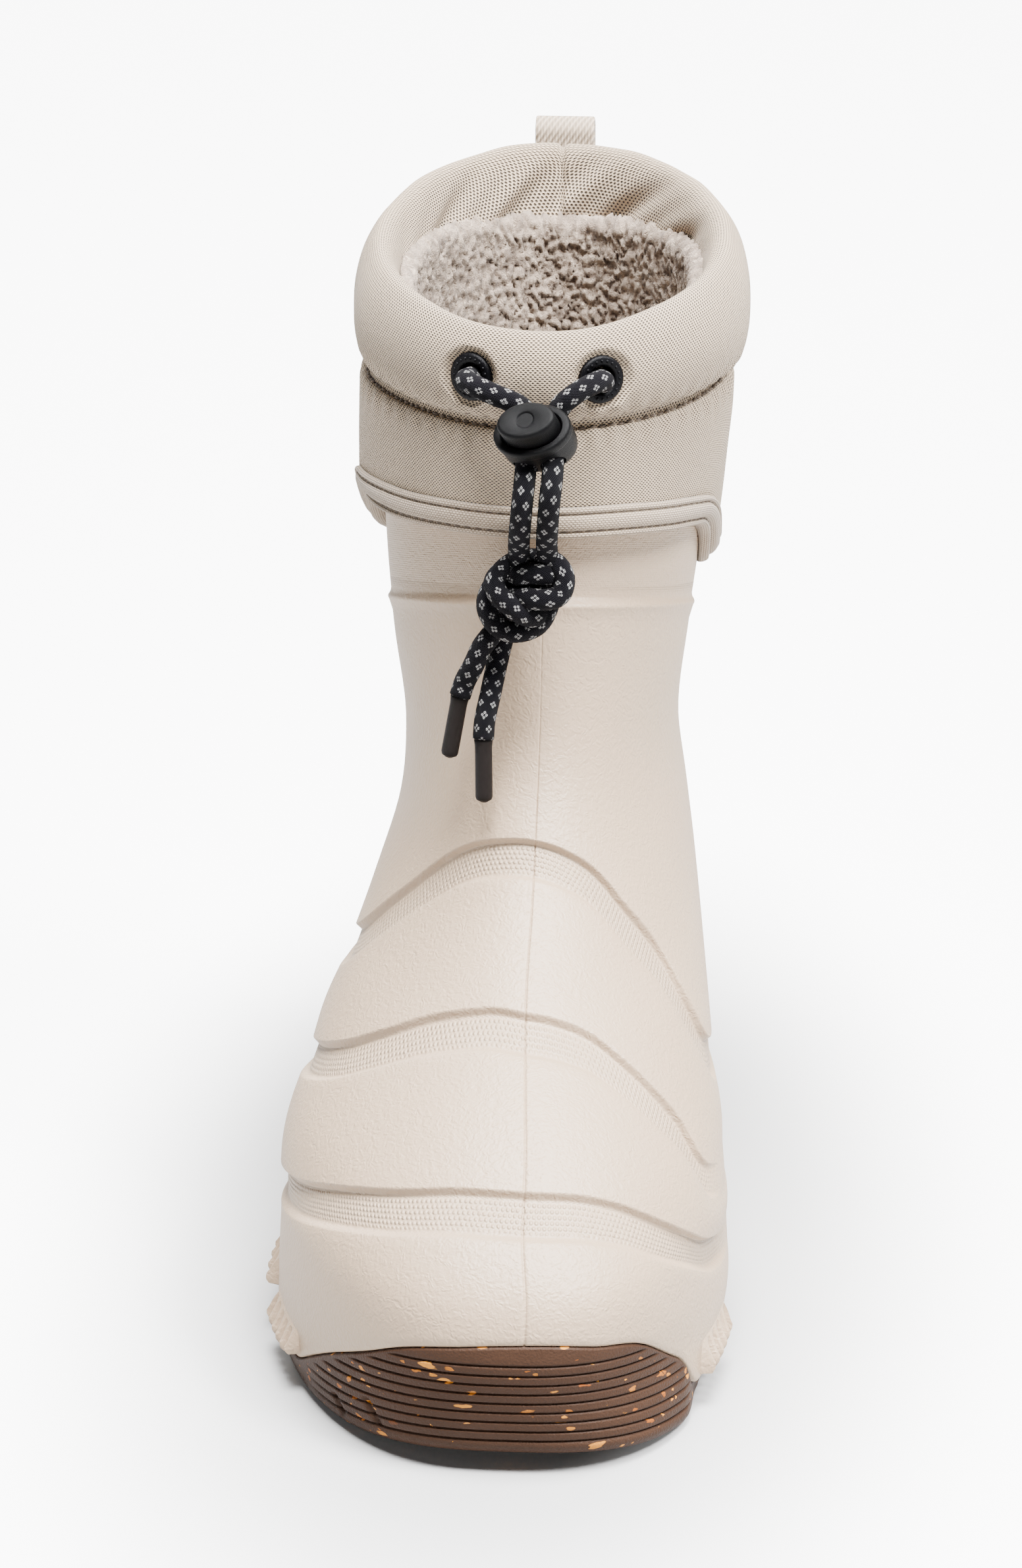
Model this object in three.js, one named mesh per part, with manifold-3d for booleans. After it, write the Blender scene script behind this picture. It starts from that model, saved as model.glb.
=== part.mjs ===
// A right waterproof boot: moulded foam boot with its floor, rubber outsole with a toe wrap,
// insole, padded textile collar with a bound hem, pull loop, and a drawcord with its lock.
// Millimetres, +Z up, the toe towards -Y, the big-toe side towards +X.

import * as THREE from 'three';
import { mergeVertices } from 'three/addons/utils/BufferGeometryUtils.js';
import Module from 'manifold-3d';

const wasm = await Module();
wasm.setup();

// Driving sizes of the foot and shaft

const bootLength = 294;
const ballWidth = 118;
const instepHeight = 94;
const shaftRise = 156;
const shaftDepth = 145;
const shaftWidth = 88;
const backRise = 13;
const clearance = 0.3;

// Driving sizes of the moulded boot

const wall = 3.5;
const bandWall = 3;
const footbedHeight = 17;
const heelLift = 6;
const floorFillet = 5;
const shellTopDrop = 13;
const grooveDepth = 1.7;
const grooveStep = 1;
const hemBandDepth = 1.5;
const ridgeHeight = 3;
const padProud = 3.2;
const padLift = 1.2;
const ribStep = 0.8;

// Driving sizes of the sole

const rubber = 2.6;
const plateThickness = 3.5;
const lugDepth = 3;
const rimWidth = 8;
const toeSpring = 5.4;
const archRise = 4;
const lugLength = 10;
const lugPitch = 16;
const lugChannel = 8;
const lugGap = 4;
const insoleThickness = 4;

// Driving sizes of the collar, its hem and its loop

const seamDrop = 24;
const skirtProud = 3.8;
const rollProud = 7.8;
const rimInside = 5.4;
const bindingHeight = 8;
const bindingThickness = 1.8;
const loopWidth = 16;
const loopThickness = 1.6;
const loopRise = 5;
const loopGap = 5;

// Driving sizes of the hardware and the cord

const eyeletWidth = 12.4;
const eyeletHole = 7;
const eyeletSpacing = 34;
const eyeletDrop = 12.5;
const flangeThickness = 1.6;
const barrelWall = 0.7;
const barrelLength = 4;
const lockWidth = 20.2;
const lockDepth = 15;
const lockHeight = 11.6;
const lockWell = 4;
const buttonWidth = 15.1;
const buttonDepth = 10.5;
const buttonHeight = 5.9;
const buttonTravel = 2.8;
const dimpleWidth = 5.7;
const dimpleDepth = 0.5;
const channelRise = 3.9;
const channelSlack = 0.45;
const strandSpacing = 7.2;
const cordWidth = 5.5;
const agletWidth = 4.4;
const agletLength = 16;

const crest = instepHeight + shaftRise;

const colours = {
  foam: 0xd8cec2,
  rubber: 0x6a4a3b,
  textile: 0xcabda9,
  tape: 0xd0c4b2,
  footbed: 0xb8ada1,
  plastic: 0x17171a,
  cord: 0x1d1c20,
  aglet: 0x1b1614,
};

function finish(colour, roughness) {
  return new THREE.MeshStandardMaterial({ color: colour, roughness, metalness: 0 });
}

// Curves through tabled values

function tangents(xs, ys) {
  const n = xs.length;
  const rise = xs.slice(1).map((x, i) => (ys[i + 1] - ys[i]) / (x - xs[i]));
  return xs.map((x, i) => {
    if (i === 0) return rise[0];
    if (i === n - 1) return rise[n - 2];
    const before = x - xs[i - 1];
    const after = xs[i + 1] - x;
    return (rise[i - 1] * after + rise[i] * before) / (before + after);
  });
}

function curve(xs, ys) {
  const slope = tangents(xs, ys);
  return (x) => {
    const at = Math.min(Math.max(x, xs[0]), xs[xs.length - 1]);
    let i = 0;
    while (i < xs.length - 2 && at > xs[i + 1]) i += 1;
    const w = xs[i + 1] - xs[i];
    const s = (at - xs[i]) / w;
    const a = (2 * s ** 3 - 3 * s ** 2 + 1) * ys[i] + (s ** 3 - 2 * s ** 2 + s) * w * slope[i];
    const b = (3 * s ** 2 - 2 * s ** 3) * ys[i + 1] + (s ** 3 - s ** 2) * w * slope[i + 1];
    return a + b;
  };
}

function curveOf(rows) {
  return curve(rows.map((row) => row[0]), rows.map((row) => row[1]));
}

function smooth(from, to, x) {
  const s = Math.min(Math.max((x - from) / (to - from), 0), 1);
  return s * s * (3 - 2 * s);
}

const degrees = (t) => THREE.MathUtils.radToDeg(t);

// The form of the last. Each row is one level: its height, how far it reaches to the front and
// the back, the swing of the toe, how square its ends are, and its half widths on each side.
// Foot rows are shares of instepHeight, bootLength and ballWidth.

const columns = ['up', 'front', 'back', 'swing', 'frontRound', 'backRound',
  'medialToe', 'medialBall', 'medialWaist', 'medialHeel',
  'lateralToe', 'lateralBall', 'lateralWaist', 'lateralHeel'];

const footLevels = [
  [0, -0.483, 0.466, 0.055, 2.9, 2.8, 0.483, 0.424, 0.32, 0.322, 0.475, 0.525, 0.385, 0.33],
  [0.085, -0.493, 0.486, 0.055, 2.7, 2.8, 0.479, 0.441, 0.332, 0.34, 0.508, 0.542, 0.405, 0.35],
  [0.191, -0.497, 0.497, 0.051, 2.5, 2.8, 0.47, 0.462, 0.342, 0.346, 0.53, 0.542, 0.42, 0.356],
  [0.34, -0.5, 0.5, 0.051, 2.4, 2.7, 0.47, 0.462, 0.347, 0.348, 0.53, 0.542, 0.424, 0.358],
  [0.468, -0.483, 0.497, 0.051, 2.4, 2.6, 0.463, 0.454, 0.352, 0.345, 0.529, 0.546, 0.426, 0.355],
  [0.596, -0.442, 0.49, 0.042, 2.3, 2.5, 0.451, 0.442, 0.356, 0.34, 0.504, 0.521, 0.422, 0.351],
  [0.723, -0.381, 0.483, 0.042, 2.2, 2.4, 0.416, 0.416, 0.364, 0.331, 0.464, 0.481, 0.407, 0.343],
  [0.851, -0.31, 0.473, 0.034, 2.1, 2.3, 0.384, 0.392, 0.36, 0.326, 0.405, 0.431, 0.377, 0.335],
  [1, -0.224, 0.459, 0.025, 2, 2.3, 0.346, 0.363, 0.347, 0.316, 0.346, 0.371, 0.346, 0.316],
];

// Shaft rows: up is a share of shaftRise above the instep, front is the middle of the level as
// a share of bootLength, back its half depth as a share of shaftDepth, widths of shaftWidth.

const shaftLevels = [
  [0.103, 0.153, 0.6, 0.034, 2, 2.2, 0.414, 0.448, 0.436, 0.402, 0.39, 0.424, 0.418, 0.398],
  [0.231, 0.182, 0.528, 0.034, 2, 2.1, 0.375, 0.409, 0.403, 0.384, 0.385, 0.408, 0.408, 0.389],
  [0.391, 0.201, 0.49, 0.034, 2, 2.1, 0.403, 0.432, 0.432, 0.409, 0.42, 0.449, 0.449, 0.426],
  [0.487, 0.207, 0.483, 0.034, 2, 2.1, 0.432, 0.455, 0.455, 0.432, 0.443, 0.468, 0.468, 0.443],
  [0.615, 0.213, 0.486, 0.034, 2, 2.1, 0.46, 0.485, 0.485, 0.46, 0.462, 0.482, 0.482, 0.462],
  [0.776, 0.218, 0.49, 0.034, 2, 2.1, 0.485, 0.51, 0.51, 0.485, 0.465, 0.486, 0.486, 0.465],
  [1.096, 0.223, 0.5, 0.034, 2, 2.1, 0.49, 0.515, 0.515, 0.49, 0.46, 0.48, 0.48, 0.46],
];

function footLevel(row) {
  const widths = row.slice(6).map((share) => share * ballWidth);
  const ends = [row[1] * bootLength, row[2] * bootLength];
  return [row[0] * instepHeight, ...ends, row[3] * ballWidth, row[4], row[5], ...widths];
}

function shaftLevel(row) {
  const widths = row.slice(6).map((share) => share * shaftWidth);
  const middle = row[1] * bootLength;
  const ends = [middle - row[2] * shaftDepth, middle + row[2] * shaftDepth];
  const up = instepHeight + row[0] * shaftRise;
  return [up, ...ends, row[3] * shaftWidth, row[4], row[5], ...widths];
}

const levels = [...footLevels.map(footLevel), ...shaftLevels.map(shaftLevel)];
const levelHeights = levels.map((row) => row[0]);
const levelCurves = columns.map((name, i) => curve(levelHeights, levels.map((row) => row[i])));
const stations = [0, 0.3, 0.6, 1];

function levelAt(z) {
  const level = {};
  columns.forEach((name, i) => {
    level[name] = levelCurves[i](z);
  });
  level.medial = curve(stations, columns.slice(6, 10).map((name) => level[name]));
  level.lateral = curve(stations, columns.slice(10, 14).map((name) => level[name]));
  return level;
}

// A point of the last: t is the angle round the level, 0 at the toe, growing to the inner side

function lastPoint(t, z, level = levelAt(z)) {
  const forward = Math.cos(t);
  const sideways = Math.sin(t);
  const round = forward > 0 ? level.frontRound : level.backRound;
  const reach = Math.sign(forward) * Math.abs(forward) ** (2 / round);
  const cap = Math.abs(sideways) ** (2 / round);
  const along = (1 - reach) / 2;
  const half = sideways >= 0 ? level.medial(along) : -level.lateral(along);
  const x = level.swing * (1 - along) ** 2 + half * cap;
  return new THREE.Vector3(x, level.front + along * (level.back - level.front), z);
}

function outward(t, z) {
  const dt = 0.02;
  const dz = 0.5;
  const level = levelAt(z);
  const round = lastPoint(t + dt, z, level).sub(lastPoint(t - dt, z, level));
  const up = lastPoint(t, z + dz).sub(lastPoint(t, z - dz));
  return round.cross(up).normalize();
}

function offPoint(t, z, out) {
  return lastPoint(t, z).addScaledVector(outward(t, z), out);
}

function flatPoint(t, z, out, top = z) {
  const normal = outward(t, z).setZ(0).normalize();
  return lastPoint(t, z).addScaledVector(normal, out).setZ(top);
}

// Heights of the sole along the foot

const toeBreak = -0.32 * bootLength;
const archStart = -0.1 * bootLength;
const archEnd = 0.24 * bootLength;

function groundAt(y) {
  const toe = Math.max(toeBreak - y, 0) / (bootLength / 2 + toeBreak);
  const arch = smooth(archStart, 0.3 * archEnd, y) * (1 - smooth(0.3 * archEnd, archEnd, y));
  return toeSpring * toe ** 2 + archRise * arch;
}

const plateTop = (y) => groundAt(y) + lugDepth + plateThickness;

function footbedAt(y) {
  const heel = smooth(-0.2 * bootLength, 0.3 * bootLength, y);
  return footbedHeight + heelLift * heel + groundAt(y);
}

// The rubber's upper edge over the ground: high over the toe, low along the sides

const toeWrapHeight = 29.6;
const sideHeight = 7.2;
const heelWrapHeight = 12;

const wrapShare = curveOf([[-180, 0], [-64, 0], [-56, 0], [-48, 0.24], [-40, 0.46], [-30, 0.68],
  [-22, 0.84], [-7, 0.96], [4, 1], [18, 0.95], [33, 0.81], [40, 0.57], [45.5, 0.35], [50, 0.02],
  [56, 0], [180, 0]]);

function soleLine(t) {
  const y = lastPoint(t, sideHeight).y;
  const toe = (toeWrapHeight - sideHeight) * Math.max(wrapShare(degrees(t)), 0);
  const heel = (heelWrapHeight - sideHeight) * smooth(110, 165, Math.abs(degrees(t)));
  return groundAt(y) + sideHeight + toe + heel;
}

// The grooves of the moulded boot: the run of each upper edge as angle and share of instepHeight,
// the heights of its textured band and of the ramp below, and the angles where it fades out

const grooves = [
  {
    edge: curveOf([[-180, 0.36], [-120, 0.36], [-85, 0.4], [-65, 0.484], [-57, 0.52], [-45, 0.575],
      [-26, 0.638], [-10, 0.67], [3, 0.67], [19, 0.649], [29, 0.612], [38, 0.559], [49, 0.479],
      [58, 0.404], [66, 0.36], [80, 0.33], [120, 0.34], [180, 0.36]]),
    band: 6, ramp: 2, fade: [-112, -84, 62, 74],
  },
  {
    edge: curveOf([[-180, 0.56], [-130, 0.54], [-95, 0.6], [-69, 0.723], [-56, 0.793], [-45, 0.856],
      [-30, 0.926], [-19, 0.957], [-8, 0.973], [2, 0.968], [13, 0.952], [24, 0.915], [34, 0.851],
      [44, 0.766], [52, 0.68], [59, 0.57], [66, 0.52], [80, 0.49], [120, 0.5], [180, 0.56]]),
    band: 5, ramp: 1.6, fade: [-116, -84, 54, 68],
  },
  {
    edge: curveOf([[-180, 0.84], [-140, 0.8], [-100, 0.82], [-74, 0.936], [-58, 1.069], [-45, 1.17],
      [-29, 1.255], [-13, 1.293], [1, 1.298], [15, 1.271], [28, 1.213], [40, 1.117], [53, 0.995],
      [64, 0.846], [72, 0.74], [90, 0.68], [130, 0.72], [180, 0.84]]),
    band: 6, ramp: 1.8, fade: [-130, -90, 66, 100],
  },
];

function fadeAt(fade, t) {
  const angle = degrees(t);
  return smooth(fade[0], fade[1], angle) * (1 - smooth(fade[2], fade[3], angle));
}

const ridgeLine = (t) => crest - 0.446 * shaftRise - 0.122 * shaftRise * (1 - Math.cos(t));
const shellTop = (t) => seamLine(t) - shellTopDrop;
const tuckLine = (t) => (hemLine(t) + shellTop(t)) / 2;

// Solids from rings of points. Rings run from one end to the other; a closed body either ends in
// single points or comes back to its first ring.

function solidGeometry(points, faces) {
  let volume = 0;
  faces.forEach(([a, b, c]) => {
    volume += points[a].dot(new THREE.Vector3().crossVectors(points[b], points[c]));
  });
  const geometry = new THREE.BufferGeometry();
  const flat = points.flatMap((p) => [p.x, p.y, p.z]);
  const outwardFaces = volume < 0 ? faces.map(([a, b, c]) => [a, c, b]) : faces;
  geometry.setAttribute('position', new THREE.Float32BufferAttribute(flat, 3));
  geometry.setIndex(outwardFaces.flat());
  return geometry;
}

function ringSolid(rings, closed) {
  const points = rings.flat();
  const starts = [];
  rings.reduce((sum, ring, i) => {
    starts[i] = sum;
    return sum + ring.length;
  }, 0);
  const faces = [];
  const pairs = closed ? rings.length : rings.length - 1;
  for (let i = 0; i < pairs; i += 1) {
    const j = (i + 1) % rings.length;
    const count = Math.max(rings[i].length, rings[j].length);
    for (let k = 0; k < count; k += 1) {
      const next = (k + 1) % count;
      const a = rings[i].length === 1 ? starts[i] : starts[i] + k;
      const b = rings[i].length === 1 ? starts[i] : starts[i] + next;
      const c = rings[j].length === 1 ? starts[j] : starts[j] + k;
      const d = rings[j].length === 1 ? starts[j] : starts[j] + next;
      const across = points[a].distanceTo(points[d]) <= points[b].distanceTo(points[c]);
      if (a === b) faces.push([a, d, c]);
      else if (c === d) faces.push([a, b, d]);
      else if (across) faces.push([a, b, d], [a, d, c]);
      else faces.push([a, b, c], [b, d, c]);
    }
  }
  return solidGeometry(points, faces);
}

function angles(count) {
  return Array.from({ length: count }, (none, k) => (2 * Math.PI * k) / count - Math.PI);
}

function ringOf(ts, place) {
  return ts.map((t) => place(t));
}

// A ring drawn in towards the middle of the foot, at a height that follows the length

function innerRing(ring, share, heightAt) {
  return ring.map((p) => new THREE.Vector3(p.x * share, p.y * share, heightAt(p.y * share)));
}

function toManifold(geometry) {
  const bare = geometry.clone();
  bare.deleteAttribute('normal');
  bare.deleteAttribute('uv');
  const merged = mergeVertices(bare, 1e-4);
  const vertProperties = new Float32Array(merged.attributes.position.array);
  const triVerts = new Uint32Array(merged.index.array);
  return new wasm.Manifold(new wasm.Mesh({ numProp: 3, vertProperties, triVerts }));
}

function fromManifold(solid) {
  const { vertProperties, triVerts } = solid.getMesh();
  const geometry = new THREE.BufferGeometry();
  geometry.setAttribute('position', new THREE.BufferAttribute(new Float32Array(vertProperties), 3));
  geometry.setIndex(new THREE.BufferAttribute(new Uint32Array(triVerts), 1));
  return mergeVertices(geometry, 2e-3);
}

function part(name, geometry, material) {
  const mesh = new THREE.Mesh(geometry, material);
  mesh.name = name;
  return mesh;
}

// The moulded boot: outer skin from the rubber's edge to the top, then the inside and the floor

const shellColumns = 48;
const floorShares = [0.5, 0.84, 1];
const bedRing = ringOf(angles(shellColumns), (t) => {
  return flatPoint(t, footbedAt(lastPoint(t, footbedHeight).y), -wall - floorFillet);
});

function shellRows(t) {
  const rows = [];
  let low = soleLine(t) + clearance;
  rows.push([low, 0]);
  let spread = 2;
  grooves.forEach((groove) => {
    const high = Math.max(groove.edge(degrees(t)) * instepHeight, low + groove.band + groove.ramp + 1);
    const deep = -grooveDepth * fadeAt(groove.fade, t);
    const foot = high - groove.band - groove.ramp;
    for (let k = 1; k < spread; k += 1) rows.push([low + ((foot - low) * k) / spread, 0]);
    rows.push([foot, 0], [high - groove.band, deep], [high, deep], [high + grooveStep, 0]);
    low = high + grooveStep;
    spread = 3;
  });
  const ridge = Math.max(ridgeLine(t), low + 10);
  const shaftSteps = 5;
  for (let k = 1; k < shaftSteps; k += 1) rows.push([low + ((ridge - low) * k) / shaftSteps, 0]);
  rows.push([ridge - ridgeHeight, 0]);
  [ridge, hemLine(t), tuckLine(t), shellTop(t)].forEach((z) => rows.push([z, -hemBandDepth]));
  return rows;
}

function shellGeometry() {
  const ts = angles(shellColumns);
  const inset = rubber + clearance;
  const rim = ringOf(ts, (t) => flatPoint(t, soleLine(t), -inset));
  const under = (y) => plateTop(y) + clearance;
  const rings = [[new THREE.Vector3(0, 0, under(0))]];
  floorShares.forEach((share) => rings.push(innerRing(rim, share, under)));
  rings.push(ringOf(ts, (t) => flatPoint(t, soleLine(t) + clearance, -inset)));
  const rows = ts.map(shellRows);
  for (let r = 0; r < rows[0].length; r += 1) {
    rings.push(ts.map((t, k) => offPoint(t, rows[k][r][0], rows[k][r][1])));
  }
  const inner = -hemBandDepth - bandWall;
  rings.push(ringOf(ts, (t) => flatPoint(t, shellTop(t), inner)));
  rings.push(ringOf(ts, (t) => flatPoint(t, ridgeLine(t) + ridgeHeight, inner)));
  const shares = [0.86, 0.68, 0.52, 0.38, 0.26, 0.15, 0.06];
  shares.forEach((share) => {
    rings.push(ringOf(ts, (t) => {
      const low = footbedAt(lastPoint(t, footbedHeight).y) + floorFillet;
      return offPoint(t, low + share * (ridgeLine(t) - low), -wall);
    }));
  });
  rings.push(ringOf(ts, (t) => {
    const low = footbedAt(lastPoint(t, footbedHeight).y);
    return flatPoint(t, low + floorFillet, -wall - 0.8);
  }));
  [...floorShares].reverse().forEach((share) => rings.push(innerRing(bedRing, share, footbedAt)));
  rings.push([new THREE.Vector3(0, 0, footbedAt(0))]);
  return ringSolid(rings, false);
}

// Ribbed pads that stand proud of the foam above the sole, each between two angles

const pads = [
  { from: -67, to: -51, low: 0.06, high: 0.24, ribs: 5 },
  { from: -82, to: -71, low: 0.16, high: 0.32, ribs: 3 },
  { from: 55, to: 70, low: 0.08, high: 0.3, ribs: 5 },
];

function padGeometry(pad) {
  const steps = 5;
  const ts = Array.from({ length: steps + 1 }, (none, k) => {
    return THREE.MathUtils.degToRad(pad.from + ((pad.to - pad.from) * k) / steps);
  });
  const rows = [[0, 0.2]];
  for (let rib = 0; rib < pad.ribs; rib += 1) {
    const start = 0.34 + (0.66 * rib) / pad.ribs;
    const width = 0.66 / pad.ribs;
    rows.push([start, padProud], [start + 0.7 * width, padProud]);
    if (rib < pad.ribs - 1) rows.push([start + 0.8 * width, padProud - ribStep]);
  }
  rows.push([1.04, 0.2]);
  const sunk = -1;
  const loops = ts.map((t) => {
    const low = Math.max(pad.low * instepHeight, soleLine(t) + padLift);
    const high = pad.high * instepHeight;
    const front = rows.map(([up, out]) => flatPoint(t, low + up * (high - low), out));
    const back = [rows[rows.length - 1], rows[0]];
    return [...front, ...back.map(([up]) => flatPoint(t, low + up * (high - low), sunk))];
  });
  const middle = (loop) => loop.reduce((sum, p) => sum.add(p), new THREE.Vector3())
    .divideScalar(loop.length);
  const centre = (t, loop) => middle(loop).lerp(middle(loop.slice(-2)), 0.5);
  const first = [centre(ts[0], loops[0])];
  const last = [centre(ts[steps], loops[steps])];
  return ringSolid([first, ...loops, last], false);
}

function upperShell() {
  let solid = toManifold(shellGeometry());
  pads.forEach((pad) => {
    solid = solid.add(toManifold(padGeometry(pad)));
  });
  return part('upper_shell', fromManifold(solid), finish(colours.foam, 0.62));
}

// The outsole: a plate with its toe wrap, a rim round the tread, and lugs in chevrons

function outsoleGeometry() {
  const ts = angles(shellColumns);
  const y = (t) => lastPoint(t, sideHeight).y;
  const top = ringOf(ts, (t) => flatPoint(t, soleLine(t), -rubber));
  const rings = [[new THREE.Vector3(0, 0, plateTop(0))]];
  floorShares.forEach((share) => rings.push(innerRing(top, share, plateTop)));
  rings.push(ringOf(ts, (t) => flatPoint(t, soleLine(t), -rubber)));
  rings.push(ringOf(ts, (t) => flatPoint(t, soleLine(t), -0.6)));
  [0.8, 0.5, 0.2].forEach((share) => {
    rings.push(ringOf(ts, (t) => {
      const low = groundAt(y(t)) + 1.6;
      return flatPoint(t, low + share * (soleLine(t) - low), 0);
    }));
  });
  rings.push(ringOf(ts, (t) => flatPoint(t, groundAt(y(t)) + 1.4, -0.3)));
  rings.push(ringOf(ts, (t) => flatPoint(t, groundAt(y(t)), -2)));
  rings.push(ringOf(ts, (t) => flatPoint(t, groundAt(y(t)), -rimWidth)));
  const under = (at) => groundAt(at) + lugDepth;
  const bottom = ringOf(ts, (t) => flatPoint(t, groundAt(y(t)), -rimWidth - 1, under(y(t))));
  rings.push(bottom, innerRing(bottom, 0.5, under), [new THREE.Vector3(0, 0, under(0))]);
  return ringSolid(rings, false);
}

// The edge of the tread at a place along the foot, on one side

function treadEdge(y, side) {
  const level = levelAt(0);
  const along = (y - level.front) / (level.back - level.front);
  const reach = 1 - 2 * along;
  const round = reach > 0 ? level.frontRound : level.backRound;
  const cap = Math.max(1 - Math.abs(reach) ** round, 0) ** (1 / round);
  const half = side > 0 ? level.medial(along) : level.lateral(along);
  const edge = level.swing * (1 - along) ** 2 + side * half * cap;
  return edge - side * (rimWidth + 1 + lugGap);
}

function lugGeometry(y, side) {
  const mid = levelAt(0).swing * (1 - (y + bootLength / 2) / bootLength) ** 2;
  const inside = mid + (side * lugChannel) / 2;
  const outside = Math.abs(treadEdge(y, side)) < Math.abs(treadEdge(y + lugLength, side))
    ? treadEdge(y, side) : treadEdge(y + lugLength, side);
  const sweep = 0.16 * Math.abs(outside - inside);
  const corners = [[inside, y], [outside, y + sweep], [outside, y + sweep + lugLength],
    [inside, y + lugLength]];
  const sunk = lugDepth + plateThickness / 2;
  const low = corners.map(([px, py]) => new THREE.Vector3(px, py, groundAt(py)));
  const high = corners.map(([px, py]) => new THREE.Vector3(px, py, groundAt(py) + sunk));
  const middle = (ring) => [ring.reduce((sum, p) => sum.add(p), new THREE.Vector3()).divideScalar(4)];
  return ringSolid([middle(low), low, high, middle(high)], false);
}

function outsole() {
  let solid = toManifold(outsoleGeometry());
  const treads = [
    { from: -0.42 * bootLength, to: -0.1 * bootLength },
    { from: 0.25 * bootLength, to: 0.42 * bootLength },
  ];
  treads.forEach(({ from, to }) => {
    const count = Math.floor((to - from - lugLength) / lugPitch) + 1;
    for (let k = 0; k < count; k += 1) {
      [-1, 1].forEach((side) => {
        solid = solid.add(toManifold(lugGeometry(from + k * lugPitch, side)));
      });
    }
  });
  return part('outsole', fromManifold(solid), finish(colours.rubber, 0.8));
}

function insole() {
  const low = (y) => footbedAt(y) + clearance;
  const high = (y) => footbedAt(y) + clearance + insoleThickness;
  const rings = [[new THREE.Vector3(0, 0, low(0))]];
  [0.5, 0.84, 0.985].forEach((share) => rings.push(innerRing(bedRing, share, low)));
  [1, 0.84, 0.5].forEach((share) => rings.push(innerRing(bedRing, share, high)));
  rings.push([new THREE.Vector3(0, 0, high(0))]);
  return part('insole', ringSolid(rings, false), finish(colours.footbed, 0.9));
}

// The collar's lines: crest, sewn channel seam and hem, as heights round the shaft

const crestLine = (t) => crest + backRise * (1 - Math.cos(t)) / 2;

function seamLine(t) {
  return crest - seamDrop - 0.026 * shaftRise * (1 - Math.cos(t)) / 2;
}

const hemShare = curveOf([[-180, 0.577], [-110, 0.54], [-95, 0.535], [-84, 0.51], [-77, 0.465],
  [-70, 0.41], [-60, 0.382], [-45, 0.36], [-25, 0.345], [0, 0.34], [25, 0.346], [45, 0.372],
  [58, 0.4], [65, 0.43], [72, 0.49], [80, 0.53], [95, 0.55], [110, 0.555], [180, 0.577]]);

const hemLine = (t) => crest - hemShare(degrees(t)) * shaftRise;

// One section of the collar: how far out of the last, and at what height

function collarSection(t) {
  const hem = hemLine(t) + bindingThickness + clearance;
  const seam = seamLine(t);
  const top = crestLine(t);
  const inside = -hemBandDepth + clearance;
  const band = (share) => hem + share * (seam - hem);
  const roll = (share) => seam + share * (top - seam);
  return [
    [inside, hem], [skirtProud - 0.7, hem], [skirtProud, band(0.35)], [skirtProud, band(0.8)],
    [skirtProud - 1.4, seam], [0.74 * rollProud, roll(0.13)], [rollProud, roll(0.36)],
    [0.95 * rollProud, roll(0.62)], [0.66 * rollProud, roll(0.86)], [0.19 * rollProud, roll(1)],
    [-0.44 * rimInside, roll(0.93)], [-0.89 * rimInside, roll(0.7)], [-rimInside, roll(0.3)],
    [-rimInside, shellTop(t) + clearance], [inside, shellTop(t) + clearance],
    [inside, tuckLine(t)],
  ];
}

function onLast(t, [out, z]) {
  return flatPoint(t, Math.min(z, crest + backRise), out, z);
}

// The eyelets lie on the roll, one on each side of the front

function eyeletFrame(side) {
  const front = lastPoint(0, crest - eyeletDrop);
  const x = front.x + (side * eyeletSpacing) / 2;
  let t = 0;
  for (let k = 0; k < 30; k += 1) {
    t += (x - flatPoint(t, crest - eyeletDrop, rollProud).x) / (shaftWidth / 2);
  }
  const section = collarSection(t);
  const face = (share) => {
    const z = seamLine(t) + share * (crestLine(t) - seamLine(t));
    const k = section.findIndex((row, i) => i > 5 && row[1] >= z);
    const [a, b] = [section[k - 1], section[k]];
    const s = (z - a[1]) / (b[1] - a[1]);
    return onLast(t, [a[0] + s * (b[0] - a[0]), z]);
  };
  const share = 1 - eyeletDrop / (crestLine(t) - seamLine(t));
  const up = face(share + 0.1).sub(face(share - 0.1)).normalize();
  const across = onLast(t + 0.1, [rollProud, crest]).sub(onLast(t - 0.1, [rollProud, crest]));
  const axis = across.normalize().cross(up).normalize();
  return { at: face(share), axis };
}

const seatDepth = 1.1;

function latheOn(frame, profile, sides) {
  const geometry = new THREE.LatheGeometry(profile.map(([r, z]) => new THREE.Vector2(r, z)), sides);
  const turn = new THREE.Quaternion().setFromUnitVectors(new THREE.Vector3(0, 1, 0), frame.axis);
  geometry.applyQuaternion(turn);
  geometry.translate(frame.at.x, frame.at.y, frame.at.z);
  return geometry;
}

function eyeletSeat(frame) {
  const barrel = eyeletHole / 2 + barrelWall + clearance;
  const flange = eyeletWidth / 2 + clearance;
  const floor = -seatDepth - clearance;
  const bottom = floor - barrelLength - clearance;
  return toManifold(latheOn(frame, [[0, bottom], [barrel, bottom], [barrel, floor], [flange, floor],
    [flange, 6], [0, 6]], 20));
}

function eyelet(name, side) {
  const hole = eyeletHole / 2;
  const barrel = hole + barrelWall;
  const flange = eyeletWidth / 2;
  const base = -seatDepth;
  const top = base + flangeThickness;
  const profile = [[hole, base - barrelLength], [barrel, base - barrelLength], [barrel, base],
    [flange, base], [flange, top - 0.8], [flange - 0.8, top], [hole + 1, top], [hole, top - 0.9],
    [hole, base - barrelLength]];
  const geometry = mergeVertices(bare(latheOn(eyeletFrame(side), profile, 20)), 1e-4);
  return part(name, geometry, finish(colours.plastic, 0.45));
}

function bare(geometry) {
  geometry.deleteAttribute('normal');
  geometry.deleteAttribute('uv');
  return geometry;
}

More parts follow.
